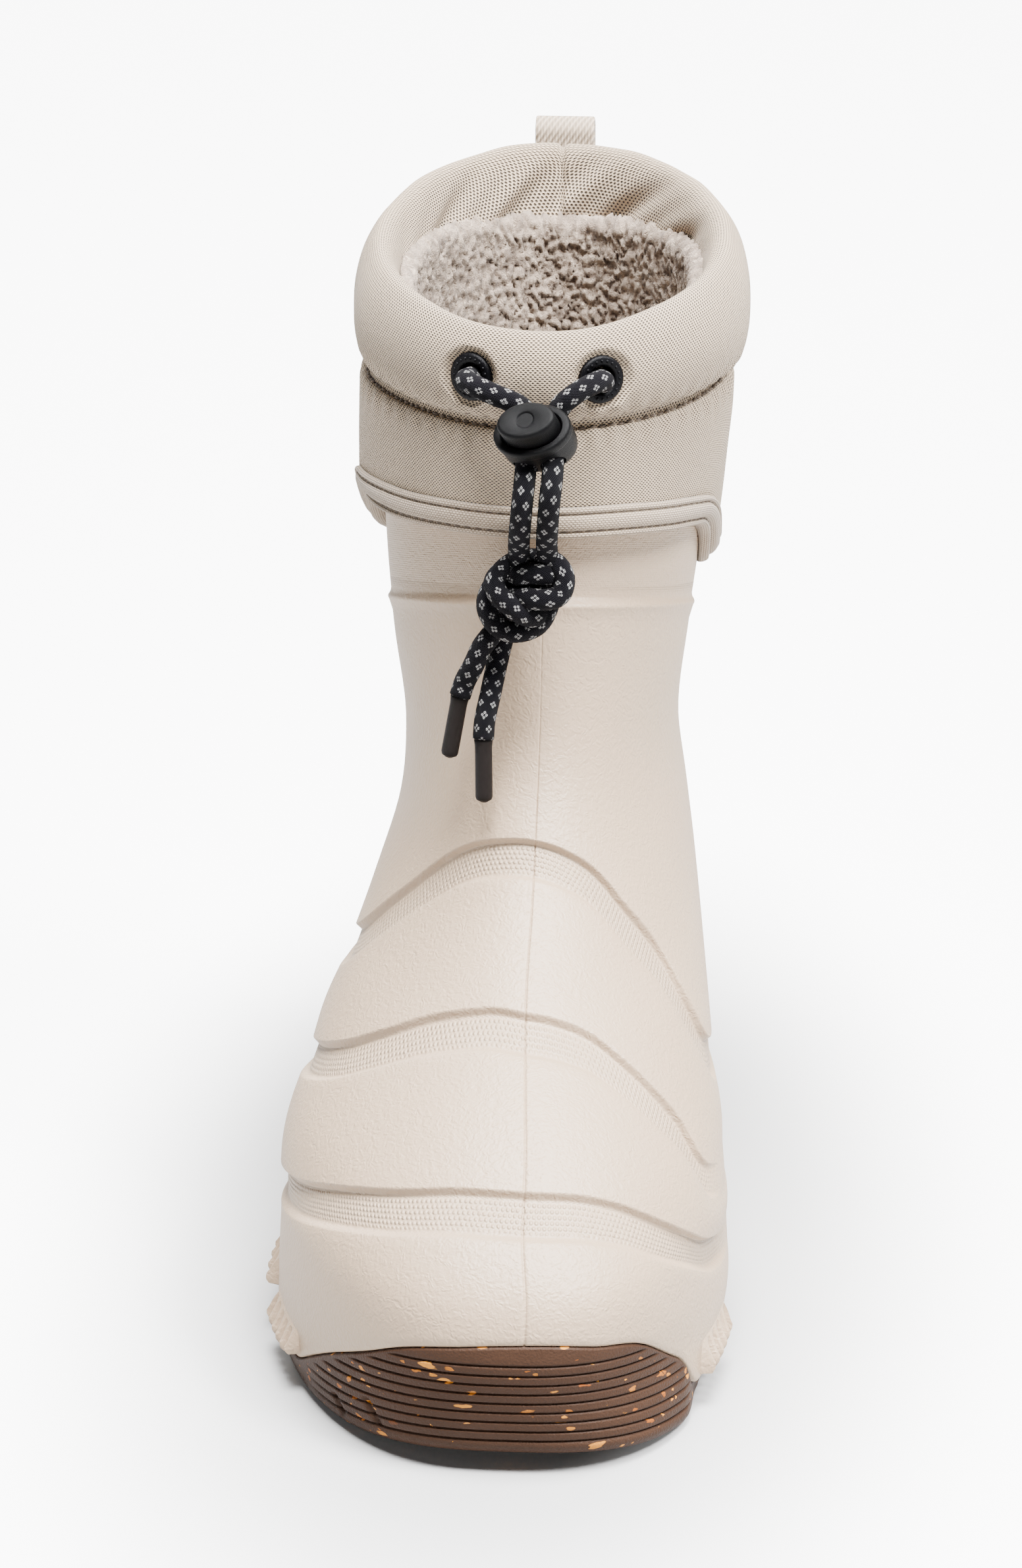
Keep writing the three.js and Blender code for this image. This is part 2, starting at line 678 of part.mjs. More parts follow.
function collar() {
  const ts = angles(shellColumns);
  const sections = ts.map((t) => collarSection(t).map((row) => onLast(t, row)));
  const rings = sections[0].map((none, r) => sections.map((section) => section[r]));
  let solid = toManifold(ringSolid(rings, true));
  [-1, 1].forEach((side) => {
    solid = solid.subtract(eyeletSeat(eyeletFrame(side)));
  });
  return part('collar', fromManifold(solid), finish(colours.textile, 0.95));
}

// The tape that binds the hem: under the edge and up its outside

function binding() {
  const ts = angles(shellColumns);
  const inside = -hemBandDepth + clearance;
  const face = skirtProud + clearance;
  const outside = face + bindingThickness;
  const rows = [[inside, 0], [outside - 0.6, 0], [outside, bindingHeight / 2],
    [outside - 0.4, bindingHeight], [face, bindingHeight], [face, bindingThickness],
    [inside, bindingThickness]];
  const rings = rows.map(([out, up]) => ts.map((t) => onLast(t, [out, hemLine(t) + up])));
  return part('collar_binding', ringSolid(rings, true), finish(colours.tape, 0.95));
}

// The pull loop: a webbing strip sewn at the back seam, standing clear of the rim

function pullLoop() {
  const back = lastPoint(Math.PI, crest).y;
  const top = crest + backRise + loopRise;
  const seam = seamLine(Math.PI);
  const near = rollProud + clearance + loopThickness / 2;
  const far = near + loopGap + loopThickness;
  const foot = skirtProud + clearance + loopThickness / 2;
  const path = [[foot, seam - 12], [foot + 0.2, seam - 3], [near, seam + 8], [near + 0.2, seam + 22],
    [near, top - 6], [near + 0.5, top - 2.6], [(near + far) / 2, top - loopThickness / 2],
    [far - 0.5, top - 2.6], [far, top - 6], [far, seam + 22], [far - 1.5, seam + 8],
    [foot + loopThickness + clearance, seam - 4], [foot + loopThickness + clearance, seam - 12]];
  const line = new THREE.CatmullRomCurve3(path.map(([out, z]) => new THREE.Vector3(out, z, 0)));
  const steps = 30;
  const sideOf = (k, side) => {
    const p = line.getPoint(k / steps);
    const d = line.getTangent(k / steps);
    return new THREE.Vector2(p.x - (side * d.y * loopThickness) / 2, p.y + (side * d.x * loopThickness) / 2);
  };
  const outline = [];
  for (let k = 0; k <= steps; k += 1) outline.push(sideOf(k, 1));
  for (let k = steps; k >= 0; k -= 1) outline.push(sideOf(k, -1));
  const strip = new THREE.ExtrudeGeometry(new THREE.Shape(outline), {
    depth: loopWidth, bevelEnabled: false, steps: 1,
  });
  const axes = new THREE.Matrix4().makeBasis(new THREE.Vector3(0, 1, 0), new THREE.Vector3(0, 0, 1),
    new THREE.Vector3(1, 0, 0));
  strip.applyMatrix4(axes);
  strip.translate(-loopWidth / 2, back, 0);
  return part('pull_loop', mergeVertices(bare(strip), 1e-4), finish(colours.tape, 0.95));
}

// The cord lock: an oval body with two channels for the cord and a button that slides into its top

const lockPlace = [4.9, -32.5, 230.5];
const lockAxis = [-0.27, -0.66, 0.7];
const lockAcross = [0.963, -0.185, 0.196];
const lockSides = 28;

// Each row of the lock's outside is a height and how far it is drawn in, as shares of lockHeight
// and of lockWidth

const lockRows = [[0, 0.13], [0.09, 0.06], [0.36, 0.025], [0.75, 0.02], [0.79, 0], [0.93, 0],
  [1, 0.04]];

const lockBase = new THREE.Matrix4().makeBasis(
  new THREE.Vector3(...lockAcross).normalize(),
  new THREE.Vector3().crossVectors(new THREE.Vector3(...lockAxis), new THREE.Vector3(...lockAcross))
    .normalize(),
  new THREE.Vector3(...lockAxis).normalize(),
);
lockBase.setPosition(...lockPlace);

function oval(halfWidth, halfDepth, up) {
  return angles(lockSides).map((t) => {
    return new THREE.Vector3(halfWidth * Math.cos(t), halfDepth * Math.sin(t), up - lockHeight);
  });
}

function lockBody() {
  const rings = lockRows.map(([rise, inset]) => {
    const drawn = inset * lockWidth;
    return oval(lockWidth / 2 - drawn, lockDepth / 2 - drawn, rise * lockHeight);
  });
  const well = [buttonWidth / 2 + clearance, buttonDepth / 2 + clearance];
  rings.unshift(oval(0, 0, 0).slice(0, 1));
  rings.push(oval(...well, lockHeight), oval(...well, lockHeight - lockWell));
  rings.push(oval(0, 0, lockHeight - lockWell).slice(0, 1));
  let solid = toManifold(ringSolid(rings, false));
  [-1, 1].forEach((side) => {
    const bore = cordWidth / 2 + channelSlack;
    const channel = new THREE.CylinderGeometry(bore, bore, 2 * lockDepth, 16);
    channel.translate((side * strandSpacing) / 2, 0, channelRise - lockHeight);
    solid = solid.subtract(toManifold(channel));
  });
  const geometry = fromManifold(solid).applyMatrix4(lockBase);
  return part('lock_body', geometry, finish(colours.plastic, 0.4));
}

function lockButton() {
  const base = lockHeight - lockWell + clearance + buttonTravel;
  const top = base + buttonHeight;
  const [wide, deep] = [buttonWidth / 2, buttonDepth / 2];
  const edge = 0.6;
  const dimple = dimpleWidth / 2;
  const rings = [oval(0, 0, base).slice(0, 1), oval(wide, deep, base), oval(wide, deep, top - edge),
    oval(wide - edge, deep - edge, top), oval(dimple, dimple, top),
    oval(dimple - dimpleDepth, dimple - dimpleDepth, top - dimpleDepth),
    oval(0, 0, top - dimpleDepth).slice(0, 1)];
  const geometry = ringSolid(rings, false).applyMatrix4(lockBase);
  return part('lock_button', geometry, finish(colours.plastic, 0.45));
}

// The drawcord: one strand from each eyelet, through the lock and the knot to its loose end. The
// points are chosen by hand, in the boot's own frame.

const strands = [
  {
    side: 'lateral',
    above: [[-10.3, -9.6, 237.7], [-12.4, -13.3, 237.9], [-12.4, -17, 238.3], [-9.4, -20.4, 237.8],
      [-5.2, -22, 236.4], [-1, -22, 234.7], [2.2, -20.8, 232.3], [3.5, -21.4, 229.4],
      [3.5, -24.5, 226.5], [3.5, -27.8, 223.4], [3.5, -31.1, 220.3], [3.4, -34.1, 217.3],
      [3, -35.5, 213], [2.3, -33.5, 206]],
    knot: [[1.5, -27, 198.5], [1.5, -24.5, 194], [2, -22.5, 189.5], [3, -21, 185.5], [6, -21.5, 182],
      [8, -24.5, 181], [6, -27.5, 180], [2, -29.5, 181.5], [-2, -30, 184.5], [-5, -29.5, 187],
      [-6, -28, 189.5], [-4, -25, 191.5], [-0.5, -21.5, 193], [3.5, -19, 193], [7.5, -20.5, 193.5],
      [11.5, -24, 194], [14, -26.5, 192.5], [15, -27.5, 190], [13.5, -29, 186.5], [9.5, -30, 185.5],
      [4.5, -29, 185.5], [0.5, -25.5, 185.5], [-2.5, -21.5, 183.5], [-4.5, -20.5, 179.5],
      [-6, -22.5, 175], [-8, -24.5, 171]],
    below: [[-10.2, -24.3, 166], [-12.5, -22.8, 161.2], [-13.7, -23, 157.5]],
    tip: [-16.4, -25, 142],
  },
  {
    side: 'medial',
    above: [[19.8, -9.8, 237.7], [21.8, -13.5, 237.9], [20.8, -17.2, 238.9], [17.6, -20.6, 238.2],
      [14.4, -22.4, 236.4], [11.7, -22.6, 233.9], [10.4, -22.8, 230.8], [10.4, -25.9, 227.9],
      [10.4, -29.2, 224.8], [10.4, -32.5, 221.7], [10.4, -35.5, 218.8], [9.9, -36.8, 214],
      [9.2, -34, 206.5]],
    knot: [[8.5, -27, 198.5], [8.5, -24.5, 194], [8.5, -22.5, 190], [8.5, -21, 186],
      [10, -22, 183.5], [9.5, -24.5, 181], [7, -26, 177.5], [2.5, -26.5, 175.5], [-2.5, -26.5, 175.5],
      [-6.5, -26, 178], [-8.5, -25, 182], [-7.5, -23, 185.5], [-4.5, -19.5, 188], [0, -16.5, 189.5],
      [5, -16, 189.5], [9.5, -19.5, 189.5], [11.5, -23.5, 189], [10, -26.5, 191], [6.5, -27.5, 192],
      [2.5, -27, 191.5], [-0.5, -23, 188.5], [-1, -18.5, 183], [-2, -17, 178], [-3, -17.8, 172]],
    below: [[-4.4, -19.4, 166], [-6, -22.8, 158], [-7.2, -26, 152], [-7.5, -27, 147.5]],
    tip: [-7.1, -30, 131.3],
  },
];

class Stretch extends THREE.Curve {
  constructor(route, from, to) {
    super();
    this.route = route;
    this.from = from;
    this.to = to;
  }

  getPoint(share) {
    const at = this.from + share * (this.to - this.from);
    return this.route.getPointAt(at / this.route.getLength());
  }
}

function tube(path, width, sides, step) {
  const section = new THREE.Shape();
  for (let k = 0; k < sides; k += 1) {
    const turn = (2 * Math.PI * k) / sides;
    const at = [(Math.cos(turn) * width) / 2, (Math.sin(turn) * width) / 2];
    if (k === 0) section.moveTo(...at);
    else section.lineTo(...at);
  }
  section.closePath();
  const steps = Math.ceil(path.getLength() / step);
  return new THREE.ExtrudeGeometry(section, { extrudePath: path, steps, bevelEnabled: false });
}

function cordNodes() {
  const nodes = [];
  let knot = null;
  const gap = clearance / 2;
  strands.forEach(({ side, above, knot: turns, below, tip }) => {
    const points = [...above, ...turns, ...below].map((p) => new THREE.Vector3(...p));
    const route = new THREE.CatmullRomCurve3(points);
    route.arcLengthDivisions = 40 * (points.length - 1);
    const lengths = route.getLengths(route.arcLengthDivisions);
    const [first, second] = [above.length, above.length + turns.length].map((i) => lengths[40 * i]);
    const strand = tube(new Stretch(route, 0, first - gap), cordWidth, 10, 3.5);
    nodes.push(part(`drawcord_${side}`, bareTube(strand), finish(colours.cord, 0.9)));
    const loops = toManifold(tube(new Stretch(route, first + gap, second - gap), cordWidth, 10, 3));
    knot = knot ? knot.add(loops) : loops;
    const tail = tube(new Stretch(route, second + gap, route.getLength()), cordWidth, 10, 5);
    nodes.push(part(`drawcord_tail_${side}`, bareTube(tail), finish(colours.cord, 0.9)));
    const end = points[points.length - 1];
    const direction = new THREE.Vector3(...tip).sub(end).normalize();
    const start = end.clone().addScaledVector(direction, 4 * gap);
    const line = new THREE.LineCurve3(start, start.clone().addScaledVector(direction, agletLength));
    const aglet = tube(line, agletWidth, 12, agletLength);
    nodes.push(part(`aglet_${side}`, bareTube(aglet), finish(colours.aglet, 0.6)));
  });
  nodes.push(part('drawcord_knot', fromManifold(knot), finish(colours.cord, 0.9)));
  return nodes;
}

const bareTube = (geometry) => mergeVertices(bare(geometry), 1e-4);

// The boot stands with the middle of its box at the origin, on the ground

const solids = [upperShell(), outsole(), insole(), collar(), binding(), pullLoop(),
  eyelet('eyelet_lateral', -1), eyelet('eyelet_medial', 1)];
const box = new THREE.Box3();
solids.forEach((mesh) => box.expandByObject(mesh));
const middle = box.getCenter(new THREE.Vector3()).setZ(box.min.z);
solids.forEach((mesh) => mesh.geometry.translate(-middle.x, -middle.y, -middle.z));

const boot = new THREE.Group();
boot.add(...solids, lockBody(), lockButton(), ...cordNodes());

export default boot;
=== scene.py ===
import math

import bmesh
import bpy
import numpy as np
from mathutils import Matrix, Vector, noise


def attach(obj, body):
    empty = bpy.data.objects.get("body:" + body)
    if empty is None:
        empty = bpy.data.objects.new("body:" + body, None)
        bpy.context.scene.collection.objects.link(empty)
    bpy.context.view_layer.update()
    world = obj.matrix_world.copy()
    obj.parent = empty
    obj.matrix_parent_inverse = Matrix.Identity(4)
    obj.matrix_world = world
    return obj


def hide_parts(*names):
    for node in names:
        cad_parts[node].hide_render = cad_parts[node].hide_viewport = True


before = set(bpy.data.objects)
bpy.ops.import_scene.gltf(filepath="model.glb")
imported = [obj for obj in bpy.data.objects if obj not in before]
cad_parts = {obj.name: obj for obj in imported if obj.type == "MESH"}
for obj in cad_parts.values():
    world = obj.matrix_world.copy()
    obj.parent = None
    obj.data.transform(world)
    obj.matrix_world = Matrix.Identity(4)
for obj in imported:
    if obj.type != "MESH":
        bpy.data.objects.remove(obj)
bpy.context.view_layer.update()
bpy.ops.object.select_all(action="DESELECT")

# The camera stands in front of the toe, a little to its right, and looks down on the boot. Its
# lens is long, so the perspective is mild.

aim = Vector((-0.0023, -0.0022, 0.127))
camera_turn = math.radians(4.2)
camera_rise = math.radians(19)
camera_distance = 1.7
camera_lens = 101.1
back_off = Vector((
    math.sin(camera_turn) * math.cos(camera_rise),
    -math.cos(camera_turn) * math.cos(camera_rise),
    math.sin(camera_rise),
))
bpy.ops.object.camera_add(
    location=aim + camera_distance * back_off,
    rotation=(math.pi / 2 - camera_rise, 0, camera_turn),
)
camera = bpy.context.object
camera.name = "camera"
camera.data.sensor_fit = "VERTICAL"
camera.data.sensor_height = 24
camera.data.lens = camera_lens
bpy.context.scene.camera = camera

# The drawcord is a soft round braid, 5.5 mm thick. Each strand comes out of an eyelet, runs
# through the lock and the knot and hangs to a loose end in a dark tube. The points are in mm.

cord_width = 0.0055
strand_points = {
    "lateral": [
        [-10.3, -9.6, 237.7], [-12.4, -13.3, 237.9], [-12.4, -17, 238.3], [-9.4, -20.4, 237.8],
        [-5.2, -22, 236.4], [-1, -22, 234.7], [2.2, -20.8, 232.3], [3.5, -21.4, 229.4],
        [3.5, -24.5, 226.5], [3.5, -27.8, 223.4], [3.5, -31.1, 220.3], [3.4, -34.1, 217.3],
        [3, -35.5, 213], [2.3, -33.5, 206], [1.5, -27, 198.5], [1.5, -24.5, 194],
        [2.1, -22.5, 189.3], [2.9, -21, 185.6], [5.5, -21.5, 182.2], [7.1, -24.5, 181.3],
        [5.5, -27.5, 180.3], [2.1, -29.5, 181.8], [-1.3, -30, 184.6], [-3.8, -29.5, 187],
        [-4.6, -28, 189.3], [-2.9, -25, 191.2], [0, -21.5, 192.7], [3.4, -19, 192.7],
        [6.7, -20.5, 193.2], [10.1, -24, 193.6], [12.2, -26.5, 192.2], [13, -27.5, 189.8],
        [11.8, -29, 186.5], [8.4, -30, 185.6], [4.2, -29, 185.6], [0.8, -25.5, 185.6],
        [-1.7, -21.5, 183.7], [-3.4, -20.5, 179.8], [-4.6, -22.5, 175.6], [-8, -24.5, 171],
        [-10.2, -24.3, 166], [-12.5, -22.8, 161.2], [-13.7, -23, 157.5],
    ],
    "medial": [
        [19.8, -9.8, 237.7], [21.8, -13.5, 237.9], [20.8, -17.2, 238.9], [17.6, -20.6, 238.2],
        [14.4, -22.4, 236.4], [11.7, -22.6, 233.9], [10.4, -22.8, 230.8], [10.4, -25.9, 227.9],
        [10.4, -29.2, 224.8], [10.4, -32.5, 221.7], [10.4, -35.5, 218.8], [9.9, -36.8, 214],
        [9.2, -34, 206.5], [8.5, -27, 198.5], [8.5, -24.5, 194], [7.6, -22.5, 189.8],
        [7.6, -21, 186], [8.8, -22, 183.7], [8.4, -24.5, 181.3], [6.3, -26, 177.9],
        [2.5, -26.5, 176.1], [-1.7, -26.5, 176.1], [-5, -26, 178.4], [-6.7, -25, 182.2],
        [-5.9, -23, 185.6], [-3.4, -19.5, 187.9], [0.4, -16.5, 189.3], [4.6, -16, 189.3],
        [8.4, -19.5, 189.3], [10.1, -23.5, 188.9], [8.8, -26.5, 190.8], [5.9, -27.5, 191.7],
        [2.5, -27, 191.2], [0, -23, 188.4], [-0.4, -18.5, 183.2], [-1.3, -17, 178.4],
        [-3, -17.8, 172], [-4.4, -19.4, 166], [-6, -22.8, 158], [-7.2, -26, 152],
        [-7.5, -27, 147.5],
    ],
}
cord_tips = {"lateral": (-16.4, -25, 142), "medial": (-7.1, -30, 131.3)}
tube_width = 0.0044
tube_length = 0.016
yarn_painted_shade, yarn_light = (0.001, 0.001, 0.0015), (0.006, 0.0055, 0.008)
flower_grey = (0.3, 0.295, 0.29)
tube_dark, tube_light = (0.003, 0.002, 0.002), (0.012, 0.009, 0.008)


def smooth_line(points, step):
    """Points close together on a curve through all the given ones."""
    given = [Vector(p) for p in points]
    ends = [2 * given[0] - given[1], *given, 2 * given[-1] - given[-2]]
    line = []
    for p0, p1, p2, p3 in zip(ends, ends[1:], ends[2:], ends[3:]):
        t0 = (p1 - p0).length ** 0.5
        t1 = (p2 - p1).length ** 0.5
        t2 = (p3 - p2).length ** 0.5
        m1 = (p2 - p1) + t1 * ((p1 - p0) / t0 - (p2 - p0) / (t0 + t1))
        m2 = (p2 - p1) + t1 * ((p3 - p2) / t2 - (p3 - p1) / (t1 + t2))
        count = max(2, round((p2 - p1).length / step))
        for k in range(count):
            s = k / count
            line.append((2 * s**3 - 3 * s**2 + 1) * p1 + (s**3 - 2 * s**2 + s) * m1
                        + (3 * s**2 - 2 * s**3) * p2 + (s**3 - s**2) * m2)
    return [*line, given[-1]]


def mesh_piece(name, points, faces, uvs=None):
    """A mesh from its points and faces, with a UV for each face corner where one is given."""
    mesh = bpy.data.meshes.new(name)
    mesh.from_pydata([tuple(p) for p in points], [], faces)
    if uvs is not None:
        layer = mesh.uv_layers.new(name="UVMap")
        layer.data.foreach_set("uv", np.asarray(uvs, dtype=np.float32).ravel())
    mesh.validate()
    mesh.shade_smooth()
    piece = bpy.data.objects.new(name, mesh)
    bpy.context.scene.collection.objects.link(piece)
    return piece


def grid_faces(rows, around, closed_rows=False, closed_around=True):
    """The quads between rows of points, which follow one another in the mesh."""
    faces = []
    for i in range(rows if closed_rows else rows - 1):
        for j in range(around if closed_around else around - 1):
            i2, j2 = (i + 1) % rows, (j + 1) % around
            faces.append((i * around + j, i * around + j2, i2 * around + j2, i2 * around + j))
    return faces


def tube_along(name, line, radius_at, sides):
    """A closed round tube; its UV is the share of the turn, and the metres along it."""
    side = (line[1] - line[0]).orthogonal().normalized()
    points, along = [], [0.0]
    for k, place in enumerate(line):
        ahead = (line[min(k + 1, len(line) - 1)] - line[max(k - 1, 0)]).normalized()
        side = (side - side.dot(ahead) * ahead).normalized()
        up = ahead.cross(side)
        radius = radius_at(k / (len(line) - 1))
        for j in range(sides):
            turn = 2 * math.pi * j / sides
            points.append(place + radius * (math.cos(turn) * side + math.sin(turn) * up))
        if k:
            along.append(along[-1] + (place - line[k - 1]).length)
    faces, uvs = grid_faces(len(line), sides), []
    for below, above in zip(along, along[1:]):
        for j in range(sides):
            uvs += [(j / sides, below), ((j + 1) / sides, below),
                    ((j + 1) / sides, above), (j / sides, above)]
    first, last = list(range(sides))[::-1], list(range(len(points) - sides, len(points)))
    faces += [tuple(first), tuple(last)]
    uvs += [(0, 0)] * sides + [(0, along[-1])] * sides
    return mesh_piece(name, points, faces, uvs)


def add(tree, kind, inputs=None, **settings):
    """A node in a material, with its settings and with values or links for its inputs."""
    made = tree.nodes.new(kind)
    for name, value in settings.items():
        setattr(made, name, value)
    for key, value in (inputs or {}).items():
        if isinstance(value, bpy.types.Node):
            value = value.outputs[0]
        if isinstance(value, bpy.types.NodeSocket):
            tree.links.new(value, made.inputs[key])
        else:
            made.inputs[key].default_value = value
    return made


def sums(tree, operation, *values):
    """The output of a Math node."""
    return add(tree, "ShaderNodeMath", dict(enumerate(values)), operation=operation).outputs[0]


def soft_step(tree, low, high, value):
    """0 below low, 1 above high, and smooth between."""
    made = add(tree, "ShaderNodeMapRange", {"Value": value, "From Min": low, "From Max": high},
               interpolation_type="SMOOTHSTEP")
    return made.outputs["Result"]


def mixed(tree, share, first, second):
    """A colour between two others."""
    made = add(tree, "ShaderNodeMix", {"Factor": share}, data_type="RGBA")
    for key, value in ((6, first), (7, second)):
        if isinstance(value, bpy.types.NodeSocket):
            tree.links.new(value, made.inputs[key])
        else:
            made.inputs[key].default_value = (*value, 1)
    return made.outputs[2]


def new_material(name, roughness, sheen=0.0, specular=0.5):
    """A material with its own roughness, sheen and reflections, its tree and its shader."""
    made = bpy.data.materials.new(name)
    made.use_nodes = True
    shader = made.node_tree.nodes["Principled BSDF"]
    for key, value in (("Roughness", roughness), ("Sheen Weight", sheen),
                       ("Sheen Roughness", 0.5), ("Specular IOR Level", specular)):
        shader.inputs[key].default_value = value
    return made, made.node_tree, shader


def speckle(tree, scale, detail, place=None):
    """A fine noise, over the piece's box unless a place is given."""
    inputs = {"Scale": scale, "Detail": detail}
    if place is not None:
        inputs["Vector"] = place
    return add(tree, "ShaderNodeTexNoise", inputs)


def warped(tree, place, amount, scale, detail):
    """Places that are moved a little, each one differently."""
    warp = speckle(tree, scale, detail, place)
    return add(tree, "ShaderNodeMixRGB", {0: amount, 1: place, 2: warp.outputs["Color"]},
               blend_type="ADD").outputs[0]


def painted(tree, shader, colour):
    """Gives the shader this colour."""
    tree.links.new(colour, shader.inputs["Base Color"])


def bumped(tree, shader, height, distance, strength=1.0):
    """Gives the shader a bump of this height."""
    bump = add(tree, "ShaderNodeBump", {"Height": height, "Distance": distance,
                                        "Strength": strength})
    tree.links.new(bump.outputs["Normal"], shader.inputs["Normal"])


def braid_material():
    """Black braid with small grey flowers in staggered rows, and its fine diagonal yarns, with
    painted shade in the gaps between the yarns.
    """
    made, tree, shader = new_material("cord_braid", 0.75, sheen=0.02, specular=0.04)
    uv = add(tree, "ShaderNodeSeparateXYZ", {0: add(tree, "ShaderNodeUVMap").outputs[0]})
    columns, pitch, turn_length, yarns = 5, 0.0058, math.pi * cord_width, 34
    petal_place, petal_size = 0.00056, 0.0004
    across, along = uv.outputs[0], uv.outputs[1]
    column = sums(tree, "MULTIPLY", across, 2 * columns)
    odd = sums(tree, "MODULO", sums(tree, "FLOOR", column), 2.0)
    row = sums(tree, "ADD", sums(tree, "DIVIDE", along, pitch), sums(tree, "MULTIPLY", odd, 0.5))
    cell_x = sums(tree, "SUBTRACT", sums(tree, "FRACT", column), 0.5)
    cell_y = sums(tree, "SUBTRACT", sums(tree, "FRACT", row), 0.5)
    x = sums(tree, "ABSOLUTE", sums(tree, "MULTIPLY", cell_x, turn_length / (2 * columns)))
    y = sums(tree, "ABSOLUTE", sums(tree, "MULTIPLY", cell_y, pitch))
    far = sums(tree, "MAXIMUM", x, y)
    near = sums(tree, "MINIMUM", x, y)
    off = sums(tree, "SUBTRACT", far, petal_place)
    reach = sums(tree, "SQRT", sums(tree, "ADD", sums(tree, "MULTIPLY", off, off),
                                    sums(tree, "MULTIPLY", near, near)))
    petal = sums(tree, "SUBTRACT", 1.0,
                 soft_step(tree, 0.7 * petal_size, 0.95 * petal_size, reach))
    lean = sums(tree, "MULTIPLY", across, yarns * math.pi)
    climb = sums(tree, "MULTIPLY", along, yarns * math.pi / turn_length)
    weave = sums(tree, "MULTIPLY", sums(tree, "SINE", sums(tree, "ADD", lean, climb)),
                 sums(tree, "SINE", sums(tree, "SUBTRACT", lean, climb)))
    yarn = sums(tree, "ABSOLUTE", weave)
    # Painted shade: the gaps between the yarns are darker, and the flowers are hidden there.
    flowers_out_of_painted_shade = sums(tree, "MULTIPLY", petal, soft_step(tree, 0.05, 0.45, yarn))
    black = mixed(tree, yarn, yarn_painted_shade, yarn_light)
    painted(tree, shader, mixed(tree, flowers_out_of_painted_shade, black, flower_grey))
    bumped(tree, shader, yarn, 0.00022)
    return made


braid = braid_material()
shrunk, shrunk_tree, shrunk_shader = new_material("cord_end_tube", 0.5, specular=0.08)
grain = speckle(shrunk_tree, 1400.0, 3.0)
painted(shrunk_tree, shrunk_shader, mixed(shrunk_tree, grain.outputs[0], tube_dark, tube_light))
bumped(shrunk_tree, shrunk_shader, grain.outputs[0], 0.0001)

for side, points in strand_points.items():
    line = smooth_line([[0.001 * v for v in p] for p in points], 0.0009)
    strand = tube_along(f"cord_{side}", line, lambda share: cord_width / 2, 24)
    strand.data.materials.append(braid)
    end, tip = line[-1], 0.001 * Vector(cord_tips[side])
    direction = (tip - end).normalized()
    tube_line = [end + direction * (0.0002 + tube_length * k / 24) for k in range(25)]

    def tube_radius(share):
        """Wider at the tube's mouth, and rounded at its tip."""
        blunt = math.sqrt(max(1 - max((share - 0.9) / 0.1, 0) ** 2, 0))
        lip = 1 + 0.1 * max(1 - share / 0.1, 0)
        return tube_width / 2 * lip * (0.35 + 0.65 * blunt)

    tube = tube_along(f"cord_end_{side}", tube_line, tube_radius, 24)
    tube.data.materials.append(shrunk)
    for piece, slot in ((strand, "cord"), (tube, "aglet")):
        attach(piece, "boot")
    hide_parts(f"drawcord_{side}", f"drawcord_tail_{side}", "drawcord_knot")
    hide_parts(f"aglet_{side}")

# The boot is moulded round a last. Each row is one level of it: its height, its reach to the
# front and the back, the swing of the toe, how square its ends are, and its half widths at the
# toe, ball, waist and heel, first on the inner side and then on the outer one.

boot_length, ball_width, instep_height = 0.294, 0.118, 0.094
shaft_rise, shaft_depth, shaft_width, back_rise = 0.156, 0.145, 0.088, 0.013
footbed_height, side_height, shell_under_seam = 0.017, 0.0072, 0.013
crest = instep_height + shaft_rise
last_middle = np.array([0.00166, -0.00321, 0.0])

foot_rows = np.array([
    [0, -0.483, 0.466, 0.055, 2.9, 2.8, 0.483, 0.424, 0.32, 0.322, 0.475, 0.525, 0.385, 0.33],
    [0.085, -0.493, 0.486, 0.055, 2.7, 2.8, 0.479, 0.441, 0.332, 0.34, 0.508, 0.542, 0.405, 0.35],
    [0.191, -0.497, 0.497, 0.051, 2.5, 2.8, 0.47, 0.462, 0.342, 0.346, 0.53, 0.542, 0.42, 0.356],
    [0.34, -0.5, 0.5, 0.051, 2.4, 2.7, 0.47, 0.462, 0.347, 0.348, 0.53, 0.542, 0.424, 0.358],
    [0.468, -0.483, 0.497, 0.051, 2.4, 2.6, 0.463, 0.454, 0.352, 0.345, 0.529, 0.546, 0.426,
     0.355],
    [0.596, -0.442, 0.49, 0.042, 2.3, 2.5, 0.451, 0.442, 0.356, 0.34, 0.504, 0.521, 0.422, 0.351],
    [0.723, -0.381, 0.483, 0.042, 2.2, 2.4, 0.416, 0.416, 0.364, 0.331, 0.464, 0.481, 0.407,
     0.343],
    [0.851, -0.31, 0.473, 0.034, 2.1, 2.3, 0.384, 0.392, 0.36, 0.326, 0.405, 0.431, 0.377, 0.335],
    [1, -0.224, 0.459, 0.025, 2, 2.3, 0.346, 0.363, 0.347, 0.316, 0.346, 0.371, 0.346, 0.316],
])
shaft_rows = np.array([
    [0.103, 0.153, 0.6, 0.034, 2, 2.2, 0.414, 0.448, 0.436, 0.402, 0.39, 0.424, 0.418, 0.398],
    [0.231, 0.182, 0.528, 0.034, 2, 2.1, 0.375, 0.409, 0.403, 0.384, 0.385, 0.408, 0.408, 0.389],
    [0.391, 0.201, 0.49, 0.034, 2, 2.1, 0.403, 0.432, 0.432, 0.409, 0.42, 0.449, 0.449, 0.426],
    [0.487, 0.207, 0.483, 0.034, 2, 2.1, 0.432, 0.455, 0.455, 0.432, 0.443, 0.468, 0.468, 0.443],
    [0.615, 0.213, 0.486, 0.034, 2, 2.1, 0.46, 0.485, 0.485, 0.46, 0.462, 0.482, 0.482, 0.462],
    [0.776, 0.218, 0.49, 0.034, 2, 2.1, 0.485, 0.51, 0.51, 0.485, 0.465, 0.486, 0.486, 0.465],
    [1.096, 0.223, 0.5, 0.034, 2, 2.1, 0.49, 0.515, 0.515, 0.49, 0.46, 0.48, 0.48, 0.46],
])
same = np.ones(2)
